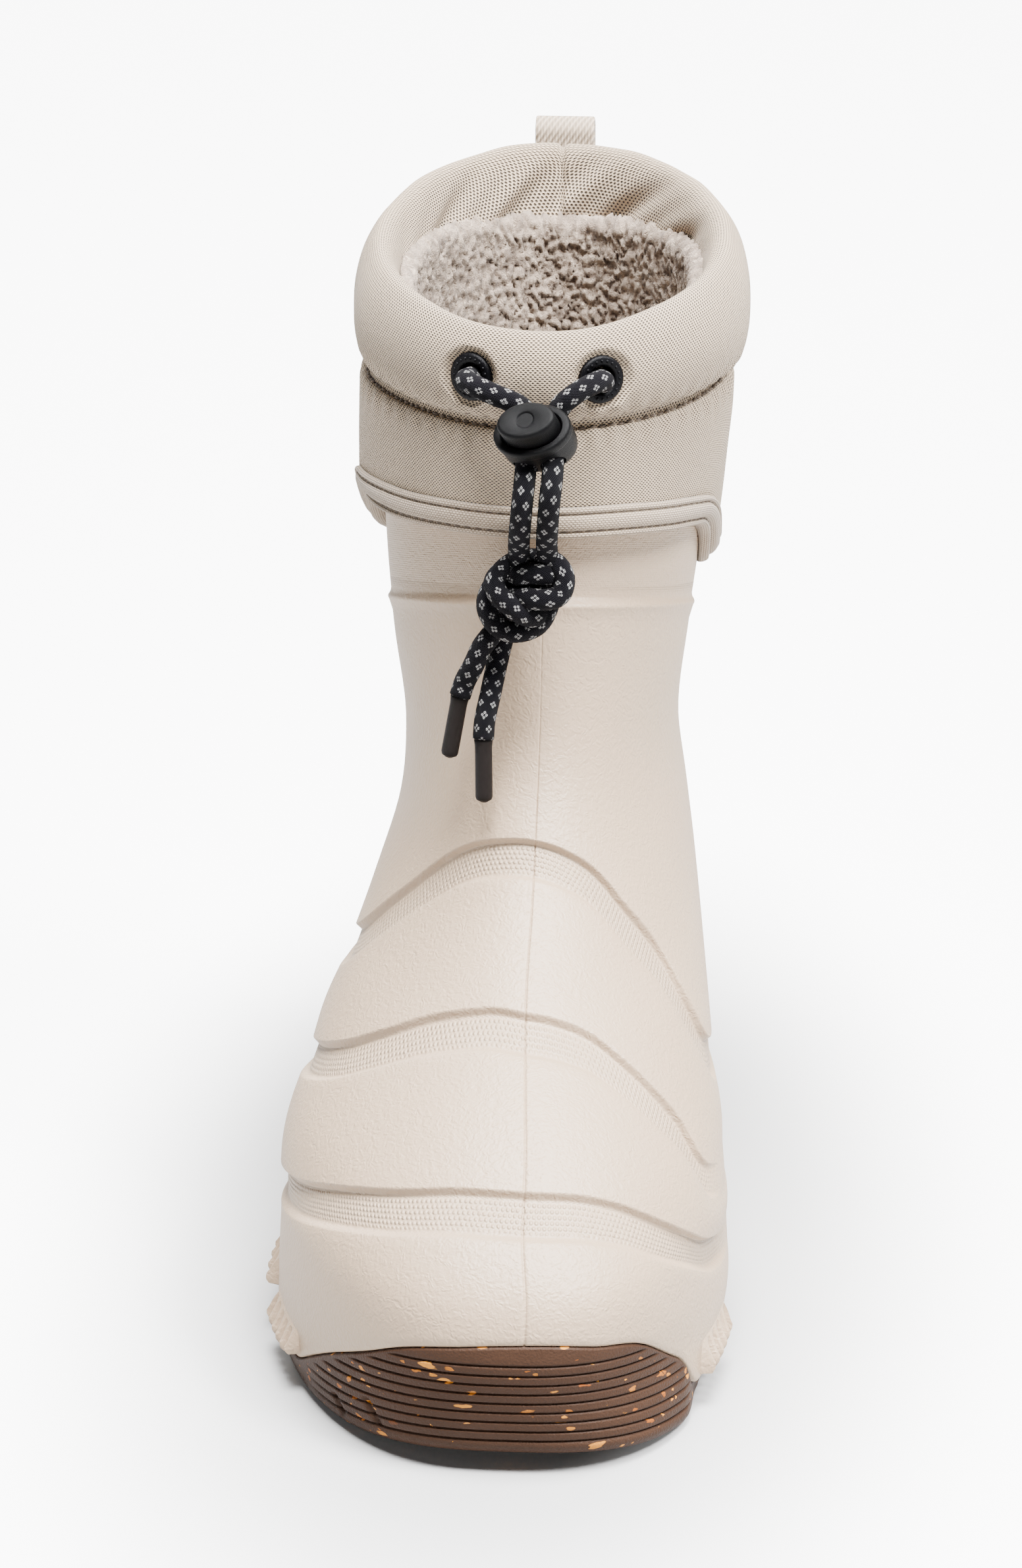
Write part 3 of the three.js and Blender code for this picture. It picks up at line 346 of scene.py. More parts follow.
foot_scale = np.array([instep_height, boot_length, boot_length, ball_width, *same,
                       *[ball_width] * 8])
shaft_scale = np.array([shaft_rise, boot_length, shaft_depth, shaft_width, *same,
                        *[shaft_width] * 8])
shaft_levels = shaft_rows * shaft_scale
middle, half_depth = shaft_levels[:, 1].copy(), shaft_levels[:, 2].copy()
shaft_levels[:, 0] += instep_height
shaft_levels[:, 1] = middle - half_depth
shaft_levels[:, 2] = middle + half_depth
levels = np.vstack([foot_rows * foot_scale, shaft_levels])


def through(xs, ys, x):
    """A smooth curve through the values ys at xs, read at x."""
    xs, ys = np.asarray(xs, float), np.asarray(ys, float)
    x = np.clip(np.asarray(x, float).ravel(), xs[0], xs[-1])
    ys = ys.reshape(len(xs), -1)
    gap = np.diff(xs)[:, None]
    rise = np.diff(ys, axis=0) / gap
    slope = np.vstack([rise[:1], (rise[:-1] * gap[1:] + rise[1:] * gap[:-1])
                       / (gap[:-1] + gap[1:]), rise[-1:]])
    i = np.clip(np.searchsorted(xs, x, side="right") - 1, 0, len(xs) - 2)
    w = gap[i]
    s = ((x - xs[i]) / w[:, 0])[:, None]
    return ((2 * s**3 - 3 * s**2 + 1) * ys[i] + (s**3 - 2 * s**2 + s) * w * slope[i]
            + (3 * s**2 - 2 * s**3) * ys[i + 1] + (s**3 - s**2) * w * slope[i + 1])


def curve_of(pairs):
    """A function of an angle in degrees, from pairs of angle and value."""
    xs, ys = zip(*pairs)
    return lambda t: through(xs, ys, np.degrees(t))[:, 0].reshape(np.shape(t))


def ease(low, high, x):
    """0 below low, 1 above high, and smooth between."""
    s = np.clip((x - low) / (high - low), 0, 1)
    return s * s * (3 - 2 * s)


stations = (0, 0.3, 0.6, 1)


def last_point(t, z):
    """The last's surface at an angle round the level, from the toe to the inner side."""
    t, z = np.broadcast_arrays(np.asarray(t, float), np.asarray(z, float))
    shape = t.shape
    t, z = t.ravel(), z.ravel()
    row = through(levels[:, 0], levels[:, 1:], z)
    forward, sideways = np.cos(t), np.sin(t)
    square = np.where(forward > 0, row[:, 3], row[:, 4])
    along = (1 - np.sign(forward) * np.abs(forward) ** (2 / square)) / 2
    shares = through(stations, np.eye(4), along)
    inner, outer = (shares * row[:, 5:9]).sum(1), (shares * row[:, 9:13]).sum(1)
    half = np.where(sideways >= 0, inner, -outer) * np.abs(sideways) ** (2 / square)
    x = row[:, 2] * (1 - along) ** 2 + half
    y = row[:, 0] + along * (row[:, 1] - row[:, 0])
    return np.stack([x, y, z], 1).reshape(*shape, 3)


def outward(t, z):
    """The direction straight out of the last's surface."""
    across = last_point(t + 0.02, z) - last_point(t - 0.02, z)
    up = last_point(t, z + 0.0005) - last_point(t, z - 0.0005)
    normal = np.cross(across, up)
    return normal / np.linalg.norm(normal, axis=-1, keepdims=True)


def off_last(t, z, out):
    """A point this far out of the last's surface."""
    return last_point(t, z) + outward(t, z) * np.asarray(out)[..., None]


def level_off_last(t, z, out, top=None):
    """A point this far out of the last, moved level, and set at the height top."""
    normal = outward(t, z) * np.array([1, 1, 0])
    normal /= np.linalg.norm(normal, axis=-1, keepdims=True)
    place = last_point(t, z) + normal * np.asarray(out)[..., None]
    place[..., 2] = z if top is None else top
    return place


def ground_at(y):
    """The height of the tread: it springs up under the toe, and a little under the arch."""
    toe = np.maximum(-0.32 * boot_length - y, 0) / (0.18 * boot_length)
    arch = (ease(-0.1 * boot_length, 0.072 * boot_length, y)
            * (1 - ease(0.072 * boot_length, 0.24 * boot_length, y)))
    return 0.0054 * toe**2 + 0.004 * arch


def footbed_at(y):
    """The height of the foam under the footbed, which rises toward the heel."""
    return footbed_height + 0.006 * ease(-0.2 * boot_length, 0.3 * boot_length, y) + ground_at(y)


wrap_share = curve_of([(-180, 0), (-64, 0), (-56, 0), (-48, 0.24), (-40, 0.46), (-30, 0.68),
                       (-22, 0.84), (-7, 0.96), (4, 1), (18, 0.95), (33, 0.81), (40, 0.57),
                       (45.5, 0.35), (50, 0.02), (56, 0), (180, 0)])


def sole_line(t):
    """The height of the rubber's upper edge: high over the toe and low along the sides."""
    y = last_point(t, side_height)[..., 1]
    heel = 0.0048 * ease(110, 165, np.abs(np.degrees(t)))
    return ground_at(y) + side_height + 0.0224 * np.maximum(wrap_share(t), 0) + heel


grooves = [
    {"edge": curve_of([(-180, 0.36), (-120, 0.36), (-85, 0.4), (-65, 0.484), (-57, 0.52),
                       (-45, 0.575), (-26, 0.638), (-10, 0.67), (3, 0.67), (19, 0.649),
                       (29, 0.612), (38, 0.559), (49, 0.479), (58, 0.404), (66, 0.36),
                       (80, 0.33), (120, 0.34), (180, 0.36)]),
     "band": 0.006, "ramp": 0.002, "fade": (-112, -84, 62, 74)},
    {"edge": curve_of([(-180, 0.56), (-130, 0.54), (-95, 0.6), (-69, 0.723), (-56, 0.793),
                       (-45, 0.856), (-30, 0.926), (-19, 0.957), (-8, 0.973), (2, 0.968),
                       (13, 0.952), (24, 0.915), (34, 0.851), (44, 0.766), (52, 0.68),
                       (59, 0.57), (66, 0.52), (80, 0.49), (120, 0.5), (180, 0.56)]),
     "band": 0.005, "ramp": 0.0016, "fade": (-116, -84, 54, 68)},
    {"edge": curve_of([(-180, 0.84), (-140, 0.8), (-100, 0.82), (-74, 0.936), (-58, 1.069),
                       (-45, 1.17), (-29, 1.255), (-13, 1.293), (1, 1.298), (15, 1.271),
                       (28, 1.213), (40, 1.117), (53, 0.995), (64, 0.846), (72, 0.74),
                       (90, 0.68), (130, 0.72), (180, 0.84)]),
     "band": 0.006, "ramp": 0.0018, "fade": (-130, -90, 66, 100)},
]
hem_fineness = 1.7
groove_depth, groove_step, hem_band_depth, ridge_height = 0.002, 0.0008, 0.0015, 0.003
hem_share = curve_of([(-180, 0.577), (-125, 0.54), (-108, 0.515), (-97, 0.475), (-88, 0.42),
                      (-79, 0.387), (-70, 0.377), (-60, 0.368), (-45, 0.358), (-25, 0.345),
                      (0, 0.34), (25, 0.346), (45, 0.365), (58, 0.382), (67, 0.4), (75, 0.435),
                      (83, 0.49), (95, 0.528), (115, 0.545), (180, 0.577)])


def hem_line(t):
    """The collar's lower edge."""
    return crest - hem_share(t) * shaft_rise


def ridge_line(t):
    """The ridge on the foam, a little under the hem."""
    return crest - 0.446 * shaft_rise - 0.122 * shaft_rise * (1 - np.cos(t))


def seam_line(t):
    """The seam that pinches the collar below its roll."""
    return crest - 0.024 - 0.026 * shaft_rise * (1 - np.cos(t)) / 2


def crest_line(t):
    """The top of the collar's roll, higher at the back."""
    return crest + back_rise * (1 - np.cos(t)) / 2


def loft(name, grid, wrap_rows=False, cap_low=False, cap_high=False, down=None, marks=None,
         bands=None):
    """A closed skin over rings of points, which run round the boot. Its UV is the metres round
    and down the skin, and marks are values kept at its points. Rows of one band share the UV
    of its first row, so that a pattern stays upright there; above the grooves it is finer."""
    grid = np.asarray(grid) + last_middle
    rings, count = grid.shape[:2]
    wrapped = np.concatenate([grid, grid[:, :1]], 1)
    round_ = np.concatenate([np.zeros((rings, 1)),
                             np.cumsum(np.linalg.norm(np.diff(wrapped, axis=1), axis=2), 1)], 1)
    if bands is not None:
        for band in set(bands) - {0}:
            members = np.flatnonzero(np.asarray(bands) == band)
            round_[members] = round_[members[0]] * (hem_fineness if band > len(grooves) else 1)
    round_ = np.concatenate([round_, round_[:1]], 0)
    round_ -= round_[:, count // 2][:, None]
    looped = np.concatenate([wrapped, wrapped[:1]], 0)
    if down is None:
        steps = np.linalg.norm(np.diff(looped, axis=0), axis=2).mean(1)
        down = np.concatenate([[0], np.cumsum(steps)])[:, None].repeat(count + 1, 1)
    else:
        down = np.concatenate([down, down[:, :1]], 1)
        down = np.concatenate([down, down[:1]], 0)
    i, j = np.meshgrid(np.arange(rings if wrap_rows else rings - 1), np.arange(count),
                       indexing="ij")
    i, j = i.ravel(), j.ravel()
    i2, j2 = (i + 1) % rings, (j + 1) % count
    faces = np.stack([i * count + j, i * count + j2, i2 * count + j2, i2 * count + j], 1).tolist()
    corners = [(i, j), (i, j + 1), (i + 1, j + 1), (i + 1, j)]
    uvs = np.stack([np.stack([round_[a, b], down[a, b]], 1) for a, b in corners], 1)
    uvs = uvs.reshape(-1, 2)
    points = grid.reshape(-1, 3)
    for wanted, ring, order in ((cap_low, 0, -1), (cap_high, rings - 1, 1)):
        if not wanted:
            continue
        centre = len(points)
        points = np.vstack([points, grid[ring].mean(0)])
        for k in range(count):
            a, b = ring * count + k, ring * count + (k + 1) % count
            faces.append((a, b, centre)[::order])
        uvs = np.vstack([uvs, np.zeros((3 * count, 2))])
    piece = mesh_piece(name, points, faces, uvs)
    for key, values in (marks or {}).items():
        layer = piece.data.attributes.new(key, "FLOAT", "POINT")
        flat = np.zeros(len(points), dtype=np.float32)
        flat[:rings * count] = np.asarray(values).ravel()
        layer.data.foreach_set("value", flat)
    return piece


# The boot itself is one moulding of soft foam, off-white and finely grained. Three swept grooves
# with knurled floors cross the foot, a ridge runs under the hem, and the mould's parting line
# runs down the front.

parting = math.radians(2.5)
even = np.linspace(-math.pi, math.pi, 289)[:-1]
parting_columns = parting + 0.001 * np.array([-14, -7, -3, 0, 3, 7, 14])
columns = np.sort(np.concatenate([even[np.abs(even - parting) > 0.02], parting_columns]))
foam_wall, rim_inset, seat_height, parting_depth = 0.0035, 0.0029, 0.0068, 0.0005
foam_dark, foam_light, foam_pit = (0.342, 0.247, 0.166), (0.382, 0.28, 0.191), (0.36, 0.29, 0.22)
grain_height, knurl_height, knurl_across, knurl_along = 0.00022, 0.00026, 0.0013, 0.00095


def span(low, high, count):
    """Heights evenly between two lines."""
    return [low + s * (high - low) for s in np.linspace(0, 1, count + 1)[1:-1]]


def hem_recess(t):
    """How far the band under the hem is sunk: less toward the sides."""
    return hem_band_depth * (1 - 0.85 * ease(25, 62, np.abs(np.degrees(t))))


def tuck(t):
    """How far the sole stands back under the foam, along the two sides of the foot."""
    turn = np.degrees(t)
    sides = ease(44, 56, turn) + ease(64, 74, -turn)
    return 0.0024 * sides * (1 - ease(95, 125, abs(turn)))


def outer_skin(t):
    """Heights, depths, knurl and distance below the groove's edge, for each row of the skin."""
    nothing = np.zeros_like(t)
    rows = []
    low = sole_line(t) + 0.0003
    rows.append((low, nothing - 0.0004, nothing, nothing))
    rows.append((low + 0.0005, nothing, nothing, nothing))
    low = low + 0.0005
    for groove, count in zip(grooves, (12, 14, 14)):
        high = np.maximum(groove["edge"](t) * instep_height,
                          low + groove["band"] + groove["ramp"] + 0.0005)
        angle = np.degrees(t)
        f = groove["fade"]
        fade = ease(f[0], f[1], angle) * (1 - ease(f[2], f[3], angle))
        foot = high - groove["band"] - groove["ramp"]
        for k, z in enumerate(span(low, foot, count)):
            swell = 0.0005 * math.sin(math.pi * (k + 1) / count)
            rows.append((z, nothing + swell, nothing, nothing))
        for s in np.linspace(0, 1, 7):
            z = foot + s * groove["ramp"]
            rows.append((z, -groove_depth * fade * ease(0, 1, s), nothing, high - z))
        for s in (0.12, 0.4, 0.7, 0.95):
            z = high - groove["band"] * (1 - s)
            rows.append((z, -groove_depth * fade, fade, high - z))
        for s in (0, 0.2, 0.4, 0.6, 0.8, 1):
            z = high + s * groove_step
            lip = 0.0003 * math.sin(math.pi * s)
            rows.append((z, (lip - groove_depth * (1 - ease(0, 1, s))) * fade, nothing, nothing))
        low = high + groove_step
    ridge = np.maximum(ridge_line(t), low + 0.01)
    rows += [(z, nothing, nothing, nothing) for z in span(low, ridge - ridge_height, 26)]
    for s in np.linspace(0, 1, 8):
        z = ridge - ridge_height * (1 - s)
        lip = 0.0004 * math.sin(math.pi * min(1.6 * s, 1))
        out = lip - hem_recess(t) * ease(0.2, 1, s) + 0.0006 * (1 - s)
        rows.append((z, out, nothing, ridge - z))
    top = seam_line(t) - shell_under_seam
    for s in np.linspace(0, 1, 16)[1:]:
        z = ridge + s * (top - ridge)
        rows.append((z, -hem_recess(t), nothing + 0.28, hem_fineness * (ridge - z)))
    return [np.array(part) for part in zip(*rows)]


z, out, knurl, below = outer_skin(columns)
line = parting_depth * np.exp(-((columns - parting) / 0.0035) ** 2)
on_foot = 1 - 0.7 * ease(0.12, 0.155, z) - 0.3 * ease(0.195, 0.205, z)
skin = off_last(columns[None, :], z, out - line[None, :] * on_foot)
plate = ground_at(last_point(columns, side_height)[..., 1]) + seat_height
rim = -rim_inset - tuck(columns)
rings = [level_off_last(columns, z[0], rim, plate), level_off_last(columns, z[0], rim)]
inside = -hem_band_depth - 0.003
inner_top = seam_line(columns) - shell_under_seam
bed = footbed_at(last_point(columns, footbed_height)[..., 1])
inner = [level_off_last(columns, inner_top, inside),
         level_off_last(columns, ridge_line(columns), inside)]
for share in (0.86, 0.68, 0.52, 0.38, 0.26, 0.15, 0.06, 0):
    low = bed + 0.005
    height = low + share * (ridge_line(columns) - low)
    inner.append(off_last(columns, height, -foam_wall - 0.0006))
inner.append(level_off_last(columns, bed, -foam_wall - 0.005))
grid = np.concatenate([np.array(rings), skin, np.array(inner)])
before, after = np.zeros((len(rings), len(columns))), np.zeros((len(inner), len(columns)))
marks = {"knurl": np.concatenate([before, knurl, after])}
bands, band = [], 0
for previous, row in zip([knurl[0], *knurl], knurl):
    band += row.max() > 0 and previous.max() == 0
    bands.append(band if row.max() > 0 else 0)
bands = [0] * len(rings) + bands + [0] * len(inner)
down = np.concatenate([before, below, after])
shell = loft("boot_shell", grid, cap_low=True, cap_high=True, down=down, marks=marks,
             bands=bands)


def staggered(tree, across, along, pitch_across, pitch_along):
    """Where a point lies in its cell of a staggered pattern, from its middle, -0.5 to 0.5."""
    row = sums(tree, "DIVIDE", along, pitch_along)
    shift = sums(tree, "MULTIPLY", sums(tree, "MODULO", sums(tree, "FLOOR", row), 2.0), 0.5)
    column = sums(tree, "ADD", sums(tree, "DIVIDE", across, pitch_across), shift)
    return (sums(tree, "SUBTRACT", sums(tree, "FRACT", column), 0.5),
            sums(tree, "SUBTRACT", sums(tree, "FRACT", row), 0.5))


def length_of(tree, x, y):
    """The distance of a point from the middle of its cell."""
    return sums(tree, "SQRT", sums(tree, "ADD", sums(tree, "MULTIPLY", x, x),
                                   sums(tree, "MULTIPLY", y, y)))


def surface_uv(tree):
    """The metres round and down a skin, kept above zero for the patterns."""
    uv = add(tree, "ShaderNodeSeparateXYZ", {0: add(tree, "ShaderNodeUVMap").outputs[0]})
    return sums(tree, "ADD", uv.outputs[0], 1.0), sums(tree, "ADD", uv.outputs[1], 1.0)


def foam_material():
    """Foam with a fine leather-like grain, and small raised dots where the knurl is."""
    made, tree, shader = new_material("foam", 0.5)
    place = add(tree, "ShaderNodeTexCoord").outputs["Object"]
    bent = warped(tree, place, 0.006, 260.0, 2.0)
    cells = add(tree, "ShaderNodeTexVoronoi", {"Vector": bent, "Scale": 900.0},
                feature="SMOOTH_F1")
    fine = speckle(tree, 2400.0, 2.0, place)
    grain = sums(tree, "ADD", sums(tree, "MULTIPLY", cells.outputs["Distance"], -1.0),
                 sums(tree, "MULTIPLY", fine.outputs[0], 0.35))
    across, along = surface_uv(tree)
    x, y = staggered(tree, across, along, knurl_across, knurl_along)
    dots = sums(tree, "SUBTRACT", 1.0, soft_step(tree, 0.1, 0.5, length_of(tree, x, y)))
    mask = add(tree, "ShaderNodeAttribute", attribute_name="knurl").outputs["Fac"]
    raised = sums(tree, "MULTIPLY", dots, mask)
    height = sums(tree, "ADD", sums(tree, "MULTIPLY", grain, grain_height),
                  sums(tree, "MULTIPLY", raised, knurl_height))
    cloudy = speckle(tree, 14.0, 3.0, place)
    base = mixed(tree, cloudy.outputs[0], foam_dark, foam_light)
    pit = sums(tree, "MULTIPLY", sums(tree, "SUBTRACT", 1.0, dots), mask)
    painted(tree, shader, mixed(tree, sums(tree, "MULTIPLY", pit, 0.16), base, foam_pit))
    bumped(tree, shader, height, 1.0)
    return made


foam = foam_material()
shell.data.materials.append(foam)
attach(shell, "boot")
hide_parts("upper_shell")

# Ribbed pads of the same foam are moulded onto the boot's sides, just above the sole: two on the
# outer side and one on the inner side.

side_pads = [(-67, -53, 0.05, 0.165, 5), (-80, -71, 0.13, 0.2, 3), (52, 66, 0.06, 0.18, 5)]
pad_end = 0.05
rib_profile = ((0.02, 1), (0.1, 0.96), (0.4, 0.5), (0.7, 0.16), (0.86, 0.04), (0.95, 0.3))
pad_proud, rib_cut, pad_lift, pad_backing = 0.0038, 0.0019, 0.0012, 0.0012
pad_heights = ((-0.02, -0.001), (0, 0.0004), (0.03, 0.003), (0.12, 0.0035), (0.2, pad_proud),
               (0.32, pad_proud), (0.45, 0.0031), (0.6, 0.0025), (0.75, 0.0018), (0.9, 0.0009),
               (1, 0.0004), (1.03, -0.001))


def choose(piece):
    """Makes this the only selected object, and the active one."""
    bpy.ops.object.select_all(action="DESELECT")
    piece.select_set(True)
    bpy.context.view_layer.objects.active = piece


for number, (start, stop, low_share, high_share, ribs) in enumerate(side_pads):
    ends, cuts = [0.0, pad_end], [0.0, 0.0]
    for rib in range(ribs):
        for at, cut in rib_profile:
            ends.append(pad_end + (1 - 2 * pad_end) * (rib + at) / ribs)
            cuts.append(cut)
    ends, cuts = np.array(ends + [1 - pad_end, 1.0]), np.array(cuts + [0.0, 0.0])
    if start > 0:
        ends, cuts = 1 - ends[::-1], cuts[::-1]
    t = np.radians(start + (stop - start) * ends)
    low = np.maximum(low_share * instep_height, sole_line(t) + pad_lift)
    high = high_share * instep_height
    taper = np.minimum(np.minimum(ends, 1 - ends) / pad_end, 1) ** 0.5
    grid = np.array([level_off_last(t, low + h * (high - low),
                                    np.where(p > 0, p * taper, p) - 0.0002
                                    - rib_cut * cuts * (0 < h < 0.8) * min(1, p / 0.003))
                     for h, p in pad_heights]) + last_middle
    faces = grid_faces(len(grid), len(t), closed_around=False)
    pad = mesh_piece(f"side_pad_{number + 1}", grid.reshape(-1, 3), faces)
    choose(pad)
    backing = pad.modifiers.new("backing", "SOLIDIFY")
    backing.thickness = pad_backing
    backing.offset = -1
    bpy.ops.object.modifier_apply(modifier=backing.name)
    bpy.ops.object.shade_smooth_by_angle(angle=math.radians(24))
    pad.data.materials.append(foam)
    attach(pad, "boot")

# The sole is brown rubber with amber flecks, glued under the foam. It climbs over the toe, where
# fine grooves follow its curve, and has bevelled lugs in chevrons underneath.

rubber_wall, plate_top, lug_depth, lug_bevel = 0.0026, 0.0065, 0.003, 0.0007
contour_grooves, first_groove, contour_pitch = 9, 0.0022, 0.00255
contour_width, contour_depth = 0.0007, 0.0007
notches, notch_depth = ((-36.5, 0.0004, 0.0056), (-25.5, 0.0024, 0.0086)), 0.0012
brown_dark, brown_light = (0.026, 0.0115, 0.0055), (0.038, 0.017, 0.0085)
fleck_dark, fleck_light = (0.17, 0.04, 0.004), (0.5, 0.2, 0.022)
t = np.linspace(-math.pi, math.pi, 577)[:-1]
y = last_point(t, side_height)[..., 1]
ground = ground_at(y)
edge = sole_line(t)
angle = np.degrees(t)
tucked = tuck(t)
sole_rings = [level_off_last(t, ground, -0.0105, ground + lug_depth),
              level_off_last(t, ground, -0.0099, ground + 0.0003),
              level_off_last(t, ground, -0.0093),
              level_off_last(t, ground, -0.002 - tucked),
              level_off_last(t, ground + 0.0004, -0.0009 - tucked),
              level_off_last(t, ground + 0.0014, -0.0002 - tucked)]
foot = ground + 0.002
tall = ease(0.05, 0.5, wrap_share(t))
wall_rows = [(0.0, 0.0)]
for k in range(contour_grooves):
    for at, deep in ((-0.55, 0), (-0.25, 0.8), (0, 1), (0.25, 0.8), (0.55, 0)):
        wall_rows.append((first_groove + contour_pitch * k + at * contour_width, deep))
    for at in (0.3, 0.5, 0.7):
        wall_rows.append((first_groove + contour_pitch * (k + at), 0.0))
wall_rows += [(0.026 + 0.001 * k, 0.0) for k in range(3)]
for k, (up, deep) in enumerate(wall_rows):
    ceiling = edge - foot - 0.0016 + 0.001 * k / len(wall_rows)
    fade = ease(0, 0.0012, ceiling - up)
    cut = sum(np.exp(-((angle - at + 600 * (up - low)) / 0.75) ** 2)
              * ease(low - 0.0005, low + 0.0005, up) * (1 - ease(high - 0.0005, high + 0.0005, up))
              for at, low, high in notches)
    sole_rings.append(level_off_last(t, foot + np.minimum(up, ceiling),
                                     -tucked - contour_depth * deep * tall * fade
                                     - notch_depth * np.minimum(cut, 1)))
sole_rings += [level_off_last(t, edge - 0.0002, -0.0003 - tucked),
               level_off_last(t, edge, -0.0008 - tucked),
               level_off_last(t, edge, -rubber_wall - tucked),
               level_off_last(t, edge, -rubber_wall - tucked, ground + plate_top)]
sole = loft("rubber_sole", sole_rings, cap_low=True, cap_high=True)


def tread_edge(y, side):
    """How far across the tread reaches at this place along the foot, on one side."""
    row = levels[0]
    along = np.clip((y - row[1]) / (row[2] - row[1]), 0, 1)
    reach = 1 - 2 * along
    square = row[4] if reach > 0 else row[5]
    cap = max(1 - abs(reach) ** square, 0) ** (1 / square)
    half = through(stations, row[6:10] if side > 0 else row[10:14], along)[0, 0]
    return row[3] * (1 - along) ** 2 + side * half * cap - side * 0.013


lug_length, lug_pitch, lug_channel = 0.01, 0.016, 0.008
lug_quads = ((3, 2, 1, 0), (4, 5, 6, 7), (0, 1, 5, 4), (1, 2, 6, 5), (2, 3, 7, 6), (3, 0, 4, 7))
lugs = bmesh.new()
for start, stop in ((-0.42, -0.1), (0.25, 0.42)):
    count = int(((stop - start) * boot_length - lug_length) / lug_pitch) + 1
    for k in range(count):
        for side in (-1, 1):
            low = start * boot_length + k * lug_pitch
            mid = levels[0][3] * (1 - (low + boot_length / 2) / boot_length) ** 2
            inside = mid + side * lug_channel / 2
            outside = min((tread_edge(low, side), tread_edge(low + lug_length, side)), key=abs)
            sweep = 0.16 * abs(outside - inside)
            corners = [(inside, low), (outside, low + sweep), (outside, low + sweep + lug_length),
                       (inside, low + lug_length)]
            vertices = [lugs.verts.new(Vector((x, y, float(ground_at(np.array(y))) + up))
                                       + Vector(last_middle))
                        for up in (0, lug_depth + 0.001) for x, y in corners]
            for quad in lug_quads:
                lugs.faces.new([vertices[c] for c in quad])
bmesh.ops.recalc_face_normals(lugs, faces=lugs.faces)
bottom = [e for e in lugs.edges
          if all(v.co.z < 0.002 + float(ground_at(np.array(v.co.y))) for v in e.verts)]
bmesh.ops.bevel(lugs, geom=bottom, offset=lug_bevel, segments=2, affect="EDGES", profile=0.5)
tread_mesh = bpy.data.meshes.new("tread_lugs")
lugs.to_mesh(tread_mesh)
lugs.free()
tread = bpy.data.objects.new("tread_lugs", tread_mesh)
bpy.context.scene.collection.objects.link(tread)


def rubber_material():
    """Brown rubber with a fine tooth, and amber and yellow flecks pressed into it."""
    made, tree, shader = new_material("sole_rubber", 0.6, specular=0.15)
    place = add(tree, "ShaderNodeTexCoord").outputs["Object"]
    flat = add(tree, "ShaderNodeMapping", {"Vector": place, "Scale": (0.5, 0.9, 1.5),
                                           "Rotation": (0.2, 0.5, 0.4)})
    bent = warped(tree, flat.outputs[0], 0.004, 320.0, 2.0)
    cells = add(tree, "ShaderNodeTexVoronoi", {"Vector": bent, "Scale": 330.0})
    chance = add(tree, "ShaderNodeSeparateXYZ", {0: cells.outputs["Color"]})
    chosen = soft_step(tree, 0.52, 0.54, chance.outputs[0])
    size = sums(tree, "MULTIPLY_ADD", chance.outputs[1], 0.34, 0.06)
    from_middle = sums(tree, "DIVIDE", cells.outputs["Distance"], size)
    within = sums(tree, "SUBTRACT", 1.0, soft_step(tree, 0.75, 1.0, from_middle))
    fleck = sums(tree, "MULTIPLY", chosen, within)
    tone = speckle(tree, 60.0, 3.0, place)
    brown = mixed(tree, tone.outputs[0], brown_dark, brown_light)
    amber = mixed(tree, chance.outputs[2], fleck_dark, fleck_light)
    painted(tree, shader, mixed(tree, fleck, brown, amber))
    fine = speckle(tree, 1700.0, 2.0, place)
    bumped(tree, shader, fine.outputs[0], 0.00022)
    return made


sole_rubber = rubber_material()
for piece in (sole, tread):
    piece.data.materials.append(sole_rubber)
    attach(piece, "boot")
    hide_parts("outsole")

# The lining is curly pile, a warm grey fleece glued to the foam from the collar's facing down to
# the floor of the boot. A loose footbed with the same pile lies inside.

facing_depth, backing_depth, bed_thickness, bed_inset = 0.0046, 0.0052, 0.003, 0.0092
pile, curl_size, edge_round = 0.0021, 0.0031, 0.0014
pile_painted_shade, pile_light, pile_seed = (0.2, 0.147, 0.108), (0.52, 0.405, 0.31), 1
noise.seed_set(pile_seed)


def curls(place, size, height):
    """How high the pile stands at a place: soft nubs, split by worm-like creases."""
    bend = noise.noise_vector(place / (0.8 * size))
    near, next_near = noise.voronoi(place / size + 0.6 * bend)[0][:2]
    crease = min((next_near - near) / 0.35, 1)
    small = noise.noise(place / (0.3 * size) + 0.8 * bend)
    return height * (0.25 + 0.75 * math.sqrt(crease)) + 0.22 * height * small


t = np.linspace(-math.pi, math.pi, 521)[:-1]
top = np.minimum(0.246 - 0.0033 * ease(100, 180, np.abs(np.degrees(t))), crest_line(t) - 0.011)
bed = footbed_at(last_point(t, footbed_height)[..., 1]) + 0.0045
fleece_rows = []
edge_turns = np.radians(np.linspace(0, 90, 9))
shares = np.concatenate([np.linspace(0, 0.3, 88)[1:], np.linspace(0.32, 1, 46)])
for turn in edge_turns:
    row = level_off_last(t, top - edge_round * (1 - math.cos(turn)),
                         -facing_depth - edge_round * math.sin(turn))
    fleece_rows.append((row, turn))
for share in shares:
    height = top - edge_round + share * (bed + bed_thickness + edge_round - top)
    row = level_off_last(t, height, -facing_depth - edge_round)
    fleece_rows.append((row, math.pi / 2))
for row, turn in fleece_rows:
    middle_of = row.mean(0)
    for p in row:
        inward = np.array([middle_of[0] - p[0], middle_of[1] - p[1], 0])
        inward *= math.sin(turn) / np.linalg.norm(inward)
        inward[2] = math.cos(turn)
        p += inward * (0.001 + curls(Vector(p), curl_size, pile))
fleece = np.array([row for row, turn in fleece_rows])
backing = np.array([level_off_last(t, top + share * (bed + bed_thickness - top), -backing_depth)
                    for share in np.linspace(0, 1, 40)])
lining = loft("lining_fleece", np.concatenate([backing, fleece[::-1]])[::-1], wrap_rows=True)

